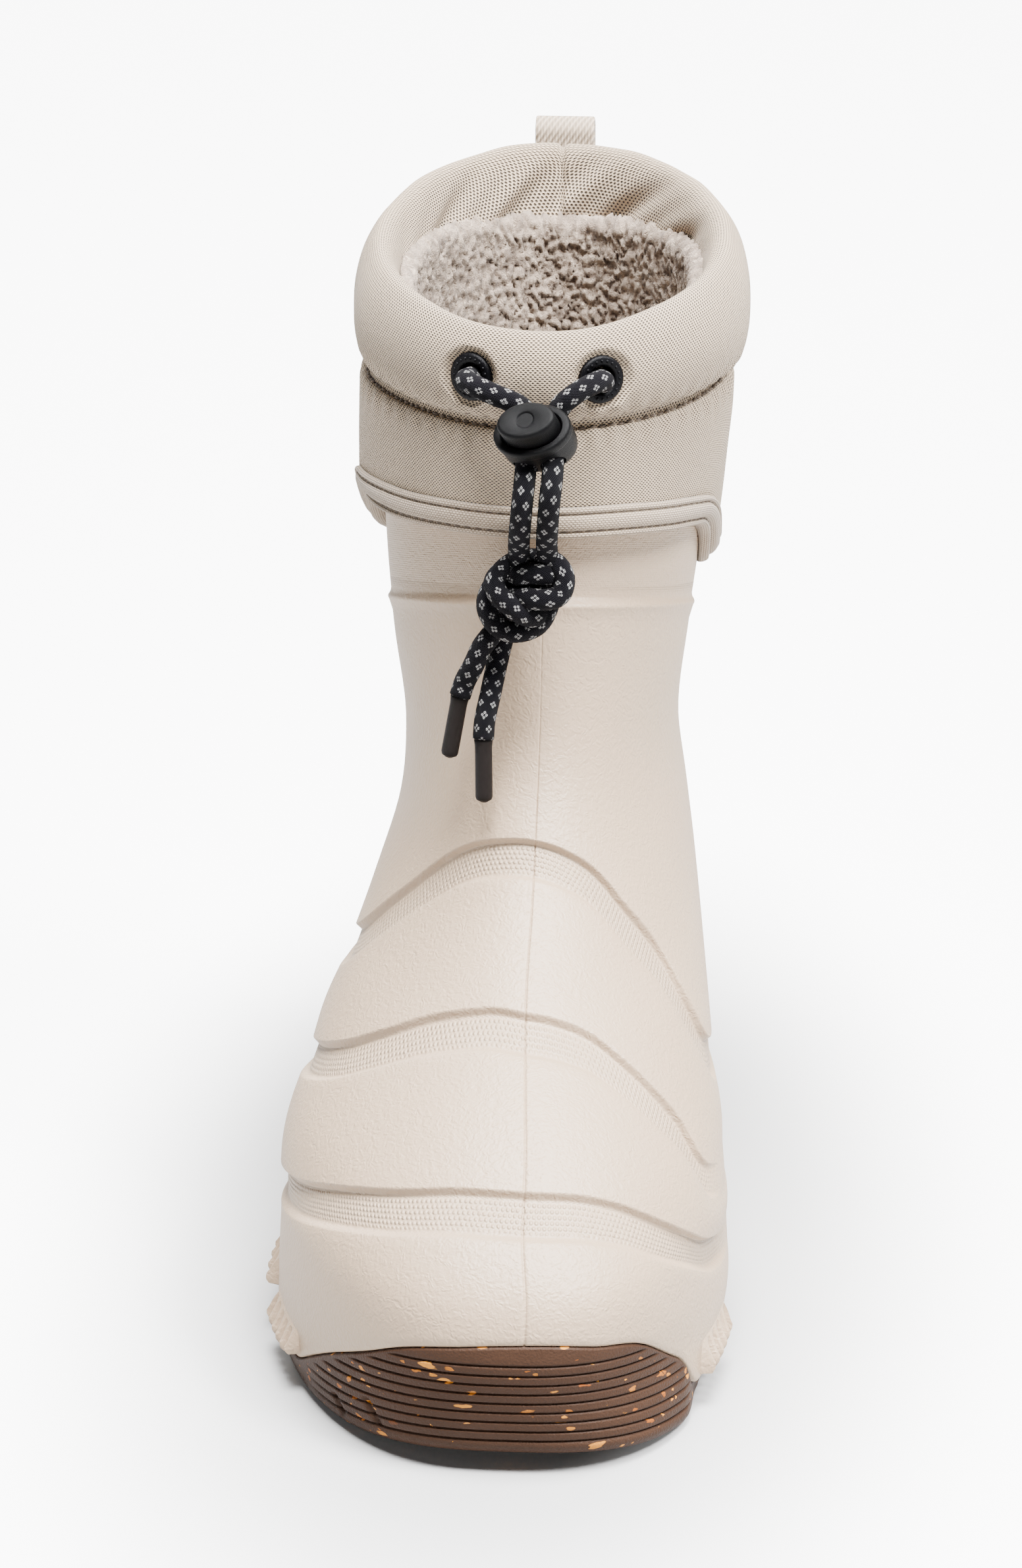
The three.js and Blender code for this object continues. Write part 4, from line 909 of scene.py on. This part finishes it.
bed_columns = np.linspace(-math.pi, math.pi, 241)[:-1]
bed_y = last_point(bed_columns, footbed_height)[..., 1]
bed_outline = level_off_last(bed_columns, footbed_at(bed_y), -bed_inset)
bed_rings = []
for share, lift, rough in ((0.05, 0.0003, 0), (0.6, 0.0003, 0), (0.985, 0.0003, 0),
                           (1, 0.002, 0.2), (0.98, 0.0036, 0.6),
                           *[(share, 0.0042, 1) for share in (
                               0.93, 0.86, 0.78, 0.7, 0.6, 0.5, 0.4, 0.3, 0.2, 0.1)]):
    ring = bed_outline * [share, share, 1]
    ring[:, 2] = footbed_at(ring[:, 1]) + lift
    if rough:
        ring[:, 2] += [rough * curls(Vector(p), 0.005, 0.0007) for p in ring]
    bed_rings.append(ring)
footbed = loft("footbed_fleece", bed_rings, cap_low=True, cap_high=True)


def fleece_material():
    """Warm grey pile with fine fibres, and painted shade between the fibres and in patches that
    stand for the creases between its curls.
    """
    made, tree, shader = new_material("fleece", 0.95, sheen=0.12)
    place = add(tree, "ShaderNodeTexCoord").outputs["Object"]
    fibres = speckle(tree, 900.0, 4.0, warped(tree, place, 0.008, 330.0, 3.0))
    fibres.inputs["Distortion"].default_value = 1.5
    tufts = speckle(tree, 230.0, 2.0, place)
    # Painted shade: darker between the fibres and in patches for the creases between the curls.
    out_of_painted_shade = sums(tree, "MULTIPLY", soft_step(tree, 0.3, 0.7, tufts.outputs[0]),
                 soft_step(tree, 0.25, 0.75, fibres.outputs[0]))
    painted(tree, shader, mixed(tree, out_of_painted_shade, pile_painted_shade, pile_light))
    bumped(tree, shader, fibres.outputs[0], 0.0009)
    return made


fleece_cloth = fleece_material()
for piece, node in ((lining, None), (footbed, "insole")):
    piece.data.materials.append(fleece_cloth)
    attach(piece, "boot")
    if node:
        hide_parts(node)

# The collar is spacer mesh, a beige knit with small holes, sewn round a soft padded roll. One
# stitched seam pinches it all round below the roll, and another runs down the back.

binding_height, binding_thickness, gap = 0.008, 0.0018, 0.0003
eyelet_places = {"lateral": ((-0.0118, -0.0112, 0.2378), (-0.496, -0.867, 0.042)),
                 "medial": ((0.02115, -0.01145, 0.2378), (0.485, -0.874, 0.042))}
eyelet_hole, eyelet_width, barrel_length = 0.007, 0.0124, 0.004
skirt_proud, roll_proud, rim_inside = 0.0038, 0.0078, 0.0054
seam_dip, crease_depth, pucker_depth, back_seam_depth = 0.0006, 0.0007, 0.00035, 0.0014
fold_depth, soft_depth, seam_spacing = 0.0013, 0.0006, 0.002
knit_dark, knit_light, hole_painted_shade = (0.43, 0.322, 0.214), (0.5, 0.38, 0.26), (0.03, 0.02, 0.013)
thread_brown, seam_stitch = (0.11, 0.08, 0.055), (0.0023, 0.0009, 0.0007)
collar_columns = np.linspace(-math.pi, math.pi, 385)[:-1]


def skirt_out(t):
    """How far the skirt stands out: more on the outer side."""
    turn = -np.degrees(t)
    return skirt_proud + 0.0023 * ease(35, 85, turn) * (1 - ease(105, 165, turn))


def collar_section(t):
    """The collar's section: how far it stands out of the last, and its heights."""
    hem = hem_line(t) + binding_thickness + gap
    seam, top = seam_line(t), crest_line(t)
    shell_top = seam - shell_under_seam
    behind = (hem_line(t) + shell_top) / 2
    inside = gap - hem_recess(t)
    skirt = skirt_out(t)
    rows = [(inside, hem), (skirt - 0.001, hem), (skirt, hem + 0.15 * (seam - hem))]
    rows += [(skirt, hem + s * (seam - hem)) for s in (0.35, 0.6, 0.8)]
    rows += [(skirt - 0.0005, hem + 0.92 * (seam - hem)), (skirt - 0.0018, seam)]
    rows += [(out, seam + s * (top - seam)) for out, s in (
        (0.62 * roll_proud, 0.08), (0.88 * roll_proud, 0.22), (roll_proud, 0.4),
        (0.95 * roll_proud, 0.62), (0.7 * roll_proud, 0.84), (0.22 * roll_proud, 0.995),
        (-0.4 * rim_inside, 0.95), (-0.85 * rim_inside, 0.74), (-rim_inside, 0.4),
        (-rim_inside, 0))]
    rows += [(-rim_inside, shell_top + gap), (inside, shell_top + gap), (inside, behind)]
    return rows


section = collar_section(collar_columns)
knots = np.array([level_off_last(collar_columns, np.minimum(z, crest + back_rise), out, z)
                  for out, z in section])
closed = np.concatenate([knots[-2:], knots, knots[:3]])
steps = [18 if k in (6, 7, 8) else 6 for k in range(len(knots))]
rings = []
for k in range(len(knots)):
    p0, p1, p2, p3 = (closed[k + 1 + n] for n in range(4))
    for s in np.arange(steps[k]) / steps[k]:
        if k in (0, len(knots) - 1, len(knots) - 2, len(knots) - 3):
            rings.append(p1 + s * (p2 - p1))
        else:
            rings.append(0.5 * (2 * p1 + (p2 - p0) * s + (2 * p0 - 5 * p1 + 4 * p2 - p3) * s**2
                                + (3 * p1 - p0 - 3 * p2 + p3) * s**3))
rings = np.array(rings)
count = rings.shape[0]
seam_height = seam_line(collar_columns)[None, :]
normals = np.cross(np.roll(rings, -1, 1) - np.roll(rings, 1, 1),
                   np.roll(rings, -1, 0) - np.roll(rings, 1, 0))
normals /= np.maximum(np.linalg.norm(normals, axis=2, keepdims=True), 1e-12)
from_seam = rings[..., 2] - seam_height
outer = (np.arange(count) < sum(steps[:13]))[:, None]
band = np.exp(-(from_seam / 0.0017) ** 2) * outer * seam_dip
creases = (np.exp(-((np.abs(from_seam) - seam_spacing / 2) / 0.0003) ** 2) * outer
           * crease_depth)
ripple = np.cos(collar_columns * 58 + 1.1 * np.sin(5 * collar_columns))[None, :]
pucker = np.exp(-((np.abs(from_seam) - 0.0035) / 0.003) ** 2) * outer * ripple
back_seam = np.exp(-((np.abs(collar_columns) - math.pi) / 0.014) ** 2)[None, :]
back_seam = back_seam * (np.arange(count) > sum(steps[:7]))[:, None]
facing = np.exp(-((rings[..., 2] - crest_line(collar_columns)[None, :] + 0.016) / 0.01) ** 2)
facing *= ~outer * ease(70, 130, np.abs(np.degrees(collar_columns)))[None, :]
lean = 9 * collar_columns[None, :] + 260 * (rings[..., 2] - crest)
folds = facing * fold_depth * (np.sin(lean) + 0.5 * np.sin(2.3 * lean + 1.3))
soft = np.array([[noise.noise(Vector(p) / 0.022) for p in row] for row in rings])
rings = rings + normals * (pucker_depth * pucker + folds + soft_depth * soft - band - creases
                           - back_seam_depth * back_seam)[..., None]
for place, axis in eyelet_places.values():
    axis = np.array(axis) / np.linalg.norm(axis)
    away = rings + last_middle - np.array(place)
    height = away @ axis
    radius = np.linalg.norm(away - height[..., None] * axis, axis=2)
    seat = -0.0009 + 0.0014 * np.clip((radius - eyelet_width / 2) / 0.002, 0, 1) ** 2
    sunk = np.clip(height - seat, 0, None) * (radius < 0.0105) * (height < 0.009)
    sunk *= 1 - ease(0.0074, 0.0088, radius)
    rings = rings - sunk[..., None] * axis
collar_rings = rings
collar = loft("collar_padding", rings, wrap_rows=True)


def drill(piece, place, axis, radius, depth, sides):
    """Cuts a round hole into a piece, with its middle at the place."""
    bpy.ops.mesh.primitive_cylinder_add(vertices=sides, radius=radius, depth=depth,
                                        location=place)
    punch = bpy.context.object
    punch.rotation_mode = "QUATERNION"
    punch.rotation_quaternion = axis.to_track_quat("Z", "Y")
    hole = piece.modifiers.new("hole", "BOOLEAN")
    hole.operation, hole.solver, hole.object = "DIFFERENCE", "EXACT", punch
    choose(piece)
    bpy.ops.object.modifier_apply(modifier=hole.name)
    bpy.data.objects.remove(punch)


for place, axis in eyelet_places.values():
    axis = Vector(axis).normalized()
    drill(collar, Vector(place) + 0.001 * axis, axis, eyelet_hole / 2 + 0.001, 0.016, 40)


def spacer_mesh_material():
    """Beige spacer knit with staggered rows of small holes, filled with painted shade."""
    made, tree, shader = new_material("spacer_mesh", 0.9, sheen=0.1)
    across, along = surface_uv(tree)
    x, y = staggered(tree, across, along, 0.0012, 0.00072)
    round_hole = length_of(tree, x, sums(tree, "MULTIPLY", y, 0.75))
    hole = sums(tree, "SUBTRACT", 1.0, soft_step(tree, 0.14, 0.4, round_hole))
    place = add(tree, "ShaderNodeTexCoord").outputs["Object"]
    yarn, cloudy = speckle(tree, 2600.0, 2.0, place), speckle(tree, 30.0, 3.0, place)
    knit = mixed(tree, cloudy.outputs[0], knit_dark, knit_light)
    # The holes are painted near black: painted shade inside them.
    painted(tree, shader, mixed(tree, sums(tree, "MULTIPLY", hole, 0.96), knit, hole_painted_shade))
    height = sums(tree, "ADD", sums(tree, "MULTIPLY", hole, -0.0006),
                  sums(tree, "MULTIPLY", yarn.outputs[0], 0.00012))
    bumped(tree, shader, height, 1.0)
    return made


spacer_mesh = spacer_mesh_material()
collar.data.materials.append(spacer_mesh)


def stitches(name, places, outs, length, width, height):
    """A row of stitches along a line of places, each a small crowned bar of this size."""
    places, outs = np.asarray(places), np.asarray(outs)
    lengths = np.concatenate([[0], np.cumsum(np.linalg.norm(np.diff(places, axis=0), axis=1))])
    number = int(lengths[-1] / (length * 1.25))
    centres = (np.arange(number) + 0.5) / number * lengths[-1]
    points, faces = [], []
    for centre in centres:
        profile = []
        for at in (-0.5, -0.3, 0, 0.3, 0.5):
            here = centre + at * length
            place = np.array([np.interp(here, lengths, places[:, c]) for c in range(3)])
            out = np.array([np.interp(here, lengths, outs[:, c]) for c in range(3)])
            ahead = np.array([np.interp(here + 1e-4, lengths, places[:, c])
                              - np.interp(here - 1e-4, lengths, places[:, c]) for c in range(3)])
            ahead /= np.linalg.norm(ahead) + 1e-12
            out /= np.linalg.norm(out)
            profile.append((place, out, np.cross(out, ahead), 1 - abs(at) / 0.5))
        first = len(points)
        for place, out, over, crown in profile:
            lift = height * math.sqrt(max(crown, 0)) if crown else -0.3 * height
            wide = width * (0.5 + 0.5 * math.sqrt(max(crown, 0)))
            for turn in range(6):
                angle = math.pi * turn / 3
                points.append(place + over * wide / 2 * math.cos(angle)
                              + out * (lift - height / 2 + height / 2 * math.sin(angle)))
        for k in range(4):
            for c in range(6):
                low, n = first + 6 * k, (c + 1) % 6
                faces.append((low + c, low + 6 + c, low + 6 + n, low + n))
        faces.append(tuple(first + c for c in range(6)))
        faces.append(tuple(first + 24 + c for c in range(5, -1, -1)))
    return mesh_piece(name, points, faces)


def thread_material():
    """Brown thread with a fine speckle."""
    made, tree, shader = new_material("collar_thread", 0.8, sheen=0.2)
    dark = tuple(0.7 * c for c in thread_brown)
    painted(tree, shader, mixed(tree, speckle(tree, 3000.0, 1.0).outputs[0], dark, thread_brown))
    return made


thread = thread_material()
over_seam = np.arange(len(collar_columns))
seam_stitches = []
for number, from_line in enumerate((-seam_spacing / 2, seam_spacing / 2)):
    nearest = np.abs(from_seam - from_line + 1e3 * ~outer).argmin(0)
    outs = normals[nearest, over_seam]
    line = collar_rings[nearest, over_seam] + last_middle + 0.0002 * outs
    seam_stitches.append(stitches(f"seam_stitches_{number + 1}", line, outs, *seam_stitch))
    seam_stitches[-1].data.materials.append(thread)
for piece in (collar, *seam_stitches):
    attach(piece, "boot")
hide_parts("collar")

# A ribbed tape binds the collar's hem. It is folded under the edge and sewn along both of its
# sides, so a firm middle band stands between two stitched valleys.

twill_painted_shade, twill_light = (0.16, 0.118, 0.08), (0.44, 0.345, 0.255)
tape_valleys, tape_stitch = (7, 14), (0.0026, 0.0006, 0.0006)
tape_face = skirt_out(collar_columns) + gap
tape_out = tape_face + binding_thickness
inside = gap - hem_recess(collar_columns)
hug = 0.0034 * ease(45, 85, np.abs(np.degrees(collar_columns)))
tape_rows = [(inside, 0.0001), (tape_face, 0), (tape_out - 0.0011, 0.0001),
             (tape_out - 0.0005, 0.0004), (tape_out - 0.0003, 0.0009),
             (tape_out - 0.0005, 0.0013), (tape_out - 0.0011, 0.0016),
             (tape_out - 0.0013, 0.0018), (tape_out - 0.0009, 0.002), (tape_out - 0.0003, 0.0024),
             (tape_out, 0.0032), (tape_out, 0.0048), (tape_out - 0.0003, 0.0056),
             (tape_out - 0.0009, 0.006), (tape_out - 0.0014, 0.0062),
             (tape_out - 0.0010, 0.0064), (tape_out - 0.0006, 0.0068),
             (tape_out - 0.0006, 0.0073), (tape_out - 0.001, 0.0078),
             (tape_face, binding_height), (tape_face, 0.005), (tape_face, binding_thickness),
             (inside, binding_thickness)]
tape_grid = np.array([level_off_last(
    collar_columns, hem_line(collar_columns) + up,
    np.maximum(out - hug * (1 - up / binding_height) ** 1.5, inside))
    for out, up in tape_rows])
tape = loft("hem_tape", tape_grid, wrap_rows=True)


def tape_material():
    """Beige tape of fine twill, with painted shade in the valleys between its raised dots."""
    made, tree, shader = new_material("hem_twill", 0.9, sheen=0.2)
    across, along = surface_uv(tree)
    x, y = staggered(tree, across, along, 0.0011, 0.0006)
    weave = sums(tree, "SUBTRACT", 1.0, soft_step(tree, 0.15, 0.55, length_of(tree, x, y)))
    # Painted shade: the twill is darker between its raised dots.
    painted(tree, shader, mixed(tree, weave, twill_painted_shade, twill_light))
    bumped(tree, shader, weave, 0.00016)
    return made


twill = tape_material()
tape.data.materials.append(twill)
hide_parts("collar_binding")
tape_stitches = []
for number, row in enumerate(tape_valleys):
    line = tape_grid[row] + last_middle
    outs = outward(collar_columns, hem_line(collar_columns))
    tape_stitches.append(stitches(f"tape_stitches_{number + 1}", line, outs, *tape_stitch))
    tape_stitches[-1].data.materials.append(thread)
for piece in (tape, *tape_stitches):
    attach(piece, "boot")

# The pull loop is a folded strip of heavy beige webbing, sewn down on the back seam. It stands up
# behind the rim and a finger fits through it.

loop_width, loop_thickness, loop_rise, loop_gap = 0.016, 0.0016, 0.005, 0.005
web_painted_shade, web_light = (0.24, 0.18, 0.125), (0.47, 0.37, 0.275)
loop_back = float(last_point(math.pi, crest)[1])
loop_top = crest + back_rise + loop_rise
loop_seam = float(seam_line(np.array(math.pi)))
near = roll_proud + gap + loop_thickness / 2
far = near + loop_gap + loop_thickness
foot = skirt_proud + gap + loop_thickness / 2
loop_path = [(foot, loop_seam - 0.012), (foot + 0.0002, loop_seam - 0.003),
             (near, loop_seam + 0.008), (near + 0.0002, loop_seam + 0.022),
             (near, loop_top - 0.006), (near + 0.0005, loop_top - 0.0026),
             ((near + far) / 2, loop_top - loop_thickness / 2), (far - 0.0005, loop_top - 0.0026),
             (far, loop_top - 0.006), (far, loop_seam + 0.022), (far - 0.0015, loop_seam + 0.008),
             (foot + loop_thickness + gap, loop_seam - 0.004),
             (foot + loop_thickness + gap, loop_seam - 0.012)]
loop_line = smooth_line([(last_middle[0], loop_back + last_middle[1] + out, z)
                         for out, z in loop_path], 0.0008)
half, deep, round_over = loop_width / 2, loop_thickness / 2, 0.0006
outline = []
for corner_x, corner_y, first in ((1, 1, 0), (-1, 1, 1), (-1, -1, 2), (1, -1, 3)):
    for s in range(4):
        angle = math.pi / 2 * (first + s / 3)
        outline.append((corner_x * (half - round_over) + round_over * math.cos(angle),
                        corner_y * (deep - round_over) + round_over * math.sin(angle)))
    if corner_y > 0 > -corner_x or corner_y < 0 < -corner_x:
        last_x, last_y = outline[-1]
        outline += [(last_x * (1 - s / 6), last_y) for s in range(1, 12)]
points, faces, uvs, along = [], [], [], [0.0]
sides = len(outline)
around = [0.0]
for a, b in zip(outline, outline[1:] + outline[:1]):
    around.append(around[-1] + math.dist(a, b))
for k, place in enumerate(loop_line):
    ahead = (loop_line[min(k + 1, len(loop_line) - 1)] - loop_line[max(k - 1, 0)]).normalized()
    across_, up = Vector((1, 0, 0)), ahead.cross(Vector((1, 0, 0)))
    points += [place + x * across_ - y * up for x, y in outline]
    if k:
        along.append(along[-1] + (place - loop_line[k - 1]).length)
for k in range(len(loop_line) - 1):
    for c in range(sides):
        low, high, n = k * sides, (k + 1) * sides, (c + 1) % sides
        faces.append((low + c, high + c, high + n, low + n))
        uvs += [(around[c], along[k]), (around[c], along[k + 1]), (around[c + 1], along[k + 1]),
                (around[c + 1], along[k])]
faces.append(tuple(range(sides)))
faces.append(tuple(range(len(points) - 1, len(points) - sides - 1, -1)))
uvs += [(0, 0)] * (2 * sides)
webbing = mesh_piece("pull_loop_webbing", points, faces, uvs)


def face_out(piece):
    """Turns all faces of a piece outward."""
    skin = bmesh.new()
    skin.from_mesh(piece.data)
    bmesh.ops.recalc_face_normals(skin, faces=skin.faces)
    skin.to_mesh(piece.data)
    skin.free()


face_out(webbing)


def webbing_material():
    """Heavy beige webbing: bold diagonal ribs with a fine yarn across them, and painted shade in
    the hollows between them.
    """
    made, tree, shader = new_material("webbing", 0.9, sheen=0.25)
    across, along = surface_uv(tree)
    turn = sums(tree, "ADD", sums(tree, "DIVIDE", across, 0.0016),
                sums(tree, "DIVIDE", along, 0.0024))
    rib = sums(tree, "SINE", sums(tree, "MULTIPLY", turn, 2 * math.pi))
    yarn = sums(tree, "SINE", sums(tree, "MULTIPLY", across, 2 * math.pi / 0.0008))
    weave = sums(tree, "MULTIPLY_ADD", rib, 0.4, sums(tree, "MULTIPLY_ADD", yarn, 0.15, 0.5))
    # Painted shade: the webbing is darker in the hollows of its ribs and yarn.
    painted(tree, shader, mixed(tree, weave, web_painted_shade, web_light))
    bumped(tree, shader, weave, 0.00035)
    return made


webbing.data.materials.append(webbing_material())
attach(webbing, "boot")
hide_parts("pull_loop")

# The eyelets are black plastic rings with a short barrel, snapped through the roll, and with a
# ring of small plain beads round the face.

bead_count, bead_size, bead_reach = 20, 0.00042, 0.00485
eyelet_black = (0.002, 0.002, 0.0025)


def turned(name, profile, place, axis, sides):
    """A body turned round an axis from a closed profile of radius and height."""
    axis = Vector(axis).normalized()
    side = axis.cross(Vector((0, 0, 1))).normalized()
    up = axis.cross(side)
    points = [Vector(place) + r * (math.cos(a) * side + math.sin(a) * up) + h * axis
              for r, h in profile for a in np.linspace(0, 2 * math.pi, sides + 1)[:-1]]
    return mesh_piece(name, points, grid_faces(len(profile), sides, closed_rows=True))


def plastic_material(name, colour, roughness):
    """Black moulded plastic with a faint tooth."""
    made, tree, shader = new_material(name, roughness, specular=0.08)
    fine, light = speckle(tree, 1500.0, 2.0).outputs[0], tuple(1.5 * c for c in colour)
    painted(tree, shader, mixed(tree, fine, colour, light))
    bumped(tree, shader, fine, 0.00003)
    return made


eyelet_plastic = plastic_material("eyelet_plastic", eyelet_black, 0.25)
for side, (place, axis) in eyelet_places.items():
    hole, barrel, rim_ = eyelet_hole / 2, eyelet_hole / 2 + 0.0007, eyelet_width / 2
    base, top_ = -0.0011, 0.0005
    profile = [(hole, base - barrel_length), (barrel, base - barrel_length), (barrel, base),
               (rim_ - 0.0002, base), (rim_, base + 0.0003), (rim_, top_ - 0.0009)]
    profile += [(rim_ - 0.0009 * (1 - math.cos(a)), top_ - 0.0009 + 0.0009 * math.sin(a))
                for a in np.radians((20, 45, 70, 90))]
    profile += [(hole + 0.0009, top_)]
    profile += [(hole + 0.0009 * (1 - math.sin(a)), top_ - 0.0009 * (1 - math.cos(a)))
                for a in np.radians((20, 45, 70, 90))]
    ring = turned(f"eyelet_ring_{side}", profile, place, axis, 64)
    face_out(ring)
    normal = Vector(axis).normalized()
    side_ = normal.cross(Vector((0, 0, 1))).normalized()
    up = normal.cross(side_)
    beads = bmesh.new()
    for k in range(bead_count):
        a = 2 * math.pi * k / bead_count
        centre = (Vector(place) + bead_reach * (math.cos(a) * side_ + math.sin(a) * up)
                  + (top_ - 0.0001) * normal)
        made = bmesh.ops.create_uvsphere(beads, u_segments=8, v_segments=6, radius=bead_size)
        bmesh.ops.translate(beads, verts=made["verts"], vec=centre)
    bead_mesh = bpy.data.meshes.new(f"eyelet_beads_{side}")
    beads.to_mesh(bead_mesh)
    beads.free()
    bead_mesh.shade_smooth()
    bead_ring = bpy.data.objects.new(f"eyelet_beads_{side}", bead_mesh)
    bpy.context.scene.collection.objects.link(bead_ring)
    for piece in (ring, bead_ring):
        piece.data.materials.append(eyelet_plastic)
        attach(piece, "boot")
        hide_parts(f"eyelet_{side}")

# The cord lock is black plastic: an oval barrel with two bores for the cord, and a sprung oval
# button with a shallow dimple that is pressed into its top.

lock_place = Vector((0.0049, -0.0325, 0.2305))
lock_axis = Vector((-0.27, -0.66, 0.7)).normalized()
lock_across = Vector((0.963, -0.185, 0.196)).normalized()
lock_up = lock_axis.cross(lock_across).normalized()
lock_width, lock_depth, lock_height, lock_well = 0.0202, 0.015, 0.0116, 0.004
button_width, button_depth, button_height, button_travel = 0.0151, 0.0105, 0.0059, 0.0028
dimple_width, dimple_depth = 0.0047, 0.0004
strand_spacing, channel_rise, channel_width = 0.0072, 0.0039, 0.0064
lock_black = (0.0012, 0.0012, 0.0014)


def oval_body(name, rows, sides=96):
    """A body of oval rings round the lock's axis: half width, half depth and height."""
    points = [lock_place + w * math.cos(a) * lock_across + d * math.sin(a) * lock_up
              + h * lock_axis for w, d, h in rows
              for a in np.linspace(0, 2 * math.pi, sides + 1)[:-1]]
    faces = grid_faces(len(rows), sides)
    faces.append(tuple(range(sides))[::-1])
    faces.append(tuple(range(len(points) - sides, len(points))))
    return mesh_piece(name, points, faces)


half_w, half_d = lock_width / 2, lock_depth / 2
barrel_rows = []
for rise, inset in ((0, 0.2), (0.01, 0.16), (0.04, 0.115), (0.1, 0.07), (0.2, 0.045),
                    (0.36, 0.028), (0.55, 0.022), (0.73, 0.02), (0.755, 0.019), (0.775, 0.01),
                    (0.79, 0.002), (0.82, 0), (0.92, 0), (0.96, 0.003), (0.985, 0.012),
                    (1, 0.026)):
    drawn = inset * lock_width
    barrel_rows.append((half_w - drawn, half_d - drawn, (rise - 1) * lock_height))
well_w, well_d = button_width / 2 + gap, button_depth / 2 + gap
barrel_rows += [(well_w + 0.0004, well_d + 0.0004, 0), (well_w, well_d, -0.0004),
                (well_w, well_d, -lock_well + 0.0003),
                (well_w - 0.0003, well_d - 0.0003, -lock_well)]
barrel = oval_body("lock_barrel", barrel_rows)
for side in (-1, 1):
    centre = (lock_place + side * strand_spacing / 2 * lock_across
              + (channel_rise - lock_height) * lock_axis)
    drill(barrel, centre, lock_up, channel_width / 2, 2 * lock_depth, 32)
choose(barrel)
bpy.ops.object.shade_smooth_by_angle(angle=math.radians(40))

base = -lock_well + gap + button_travel
top_ = base + button_height
wide, deep = button_width / 2, button_depth / 2
button_rows = [(wide - 0.0003, deep - 0.0003, base), (wide, deep, base + 0.0003),
               (wide, deep, top_ - 0.001)]
button_rows += [(wide - 0.001 * (1 - math.cos(a)), deep - 0.001 * (1 - math.cos(a)),
                 top_ - 0.001 * (1 - math.sin(a))) for a in np.radians((22, 45, 67, 90))]
dimple = dimple_width / 2
button_rows += [(dimple + 0.0003, dimple + 0.0003, top_), (dimple, dimple, top_ - 0.0001),
                (dimple - 0.0003, dimple - 0.0003, top_ - dimple_depth)]
button = oval_body("lock_button_cap", button_rows)
choose(button)
bpy.ops.object.shade_smooth_by_angle(angle=math.radians(26))
lock_plastic = plastic_material("lock_plastic", lock_black, 0.42)
for piece, node, body in ((barrel, "lock_body", "boot"), (button, "lock_button", "lock_button")):
    piece.data.materials.append(lock_plastic)
    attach(piece, body)
    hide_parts(node)

# The boot stands on a plain white floor, under a soft lamp high in front and to the right, a
# weak one on the left, a broad one above and one behind. The floor and the world look white to
# the camera alone, so they throw no light onto the boot. The floor's glow fades out in an oval
# round the boot, so the floor there is darker: a painted shadow round the boot, in which the
# lamps' real shadows show.

background_glow, shadow_glow, world_light = 7.0, 0.03, 0.04
floor_size, floor_drop, floor_grey = 12, 0.0002, 0.4
lamps = (("lamp_key", (1.5, -0.75, 2.4), 0.8, 300), ("lamp_left", (-1.7, -1.0, 0.9), 1.4, 4),
         ("lamp_top", (0.15, -0.35, 2.5), 1.2, 420), ("lamp_back", (-0.8, 2.2, 1.6), 1.5, 60))
bpy.ops.mesh.primitive_plane_add(size=floor_size, location=(0, 0, -floor_drop))
floor = bpy.context.object
floor.name = "floor"
floor_material, floor_tree, floor_shader = new_material("floor_white", 0.9)
floor_shader.inputs["Base Color"].default_value = (floor_grey, floor_grey, floor_grey, 1)
floor_shader.inputs["Emission Color"].default_value = (1, 1, 1, 1)
spot = add(floor_tree, "ShaderNodeTexCoord").outputs["Object"]
spot = add(floor_tree, "ShaderNodeMapping", {"Vector": spot, "Scale": (16.0, 6.6, 1.0)})
reach = add(floor_tree, "ShaderNodeVectorMath", {0: spot}, operation="LENGTH")
# Painted shadow: the floor's glow fades out in an oval round the boot's footprint.
away = soft_step(floor_tree, 0.95, 2.4, reach.outputs["Value"])
seen = add(floor_tree, "ShaderNodeLightPath").outputs["Is Camera Ray"]
glow = sums(floor_tree, "MULTIPLY_ADD", away, background_glow - shadow_glow, shadow_glow)
floor_tree.links.new(sums(floor_tree, "MULTIPLY", seen, glow),
                     floor_shader.inputs["Emission Strength"])
floor.data.materials.append(floor_material)
for name, place, size, power in lamps:
    bpy.ops.object.light_add(type="AREA", location=place)
    lamp = bpy.context.object
    lamp.name = name
    lamp.data.size = size
    lamp.data.energy = power
    lamp.rotation_euler = (Vector(place) - Vector((0, 0, 0.12))).to_track_quat("Z", "Y").to_euler()
world = bpy.data.worlds.new("studio")
world.use_nodes = True
world.node_tree.nodes["Background"].inputs["Color"].default_value = (1, 1, 1, 1)
seen = add(world.node_tree, "ShaderNodeLightPath").outputs["Is Camera Ray"]
glow = sums(world.node_tree, "MULTIPLY_ADD", seen, background_glow, world_light)
world.node_tree.links.new(glow, world.node_tree.nodes["Background"].inputs["Strength"])
bpy.context.scene.world = world
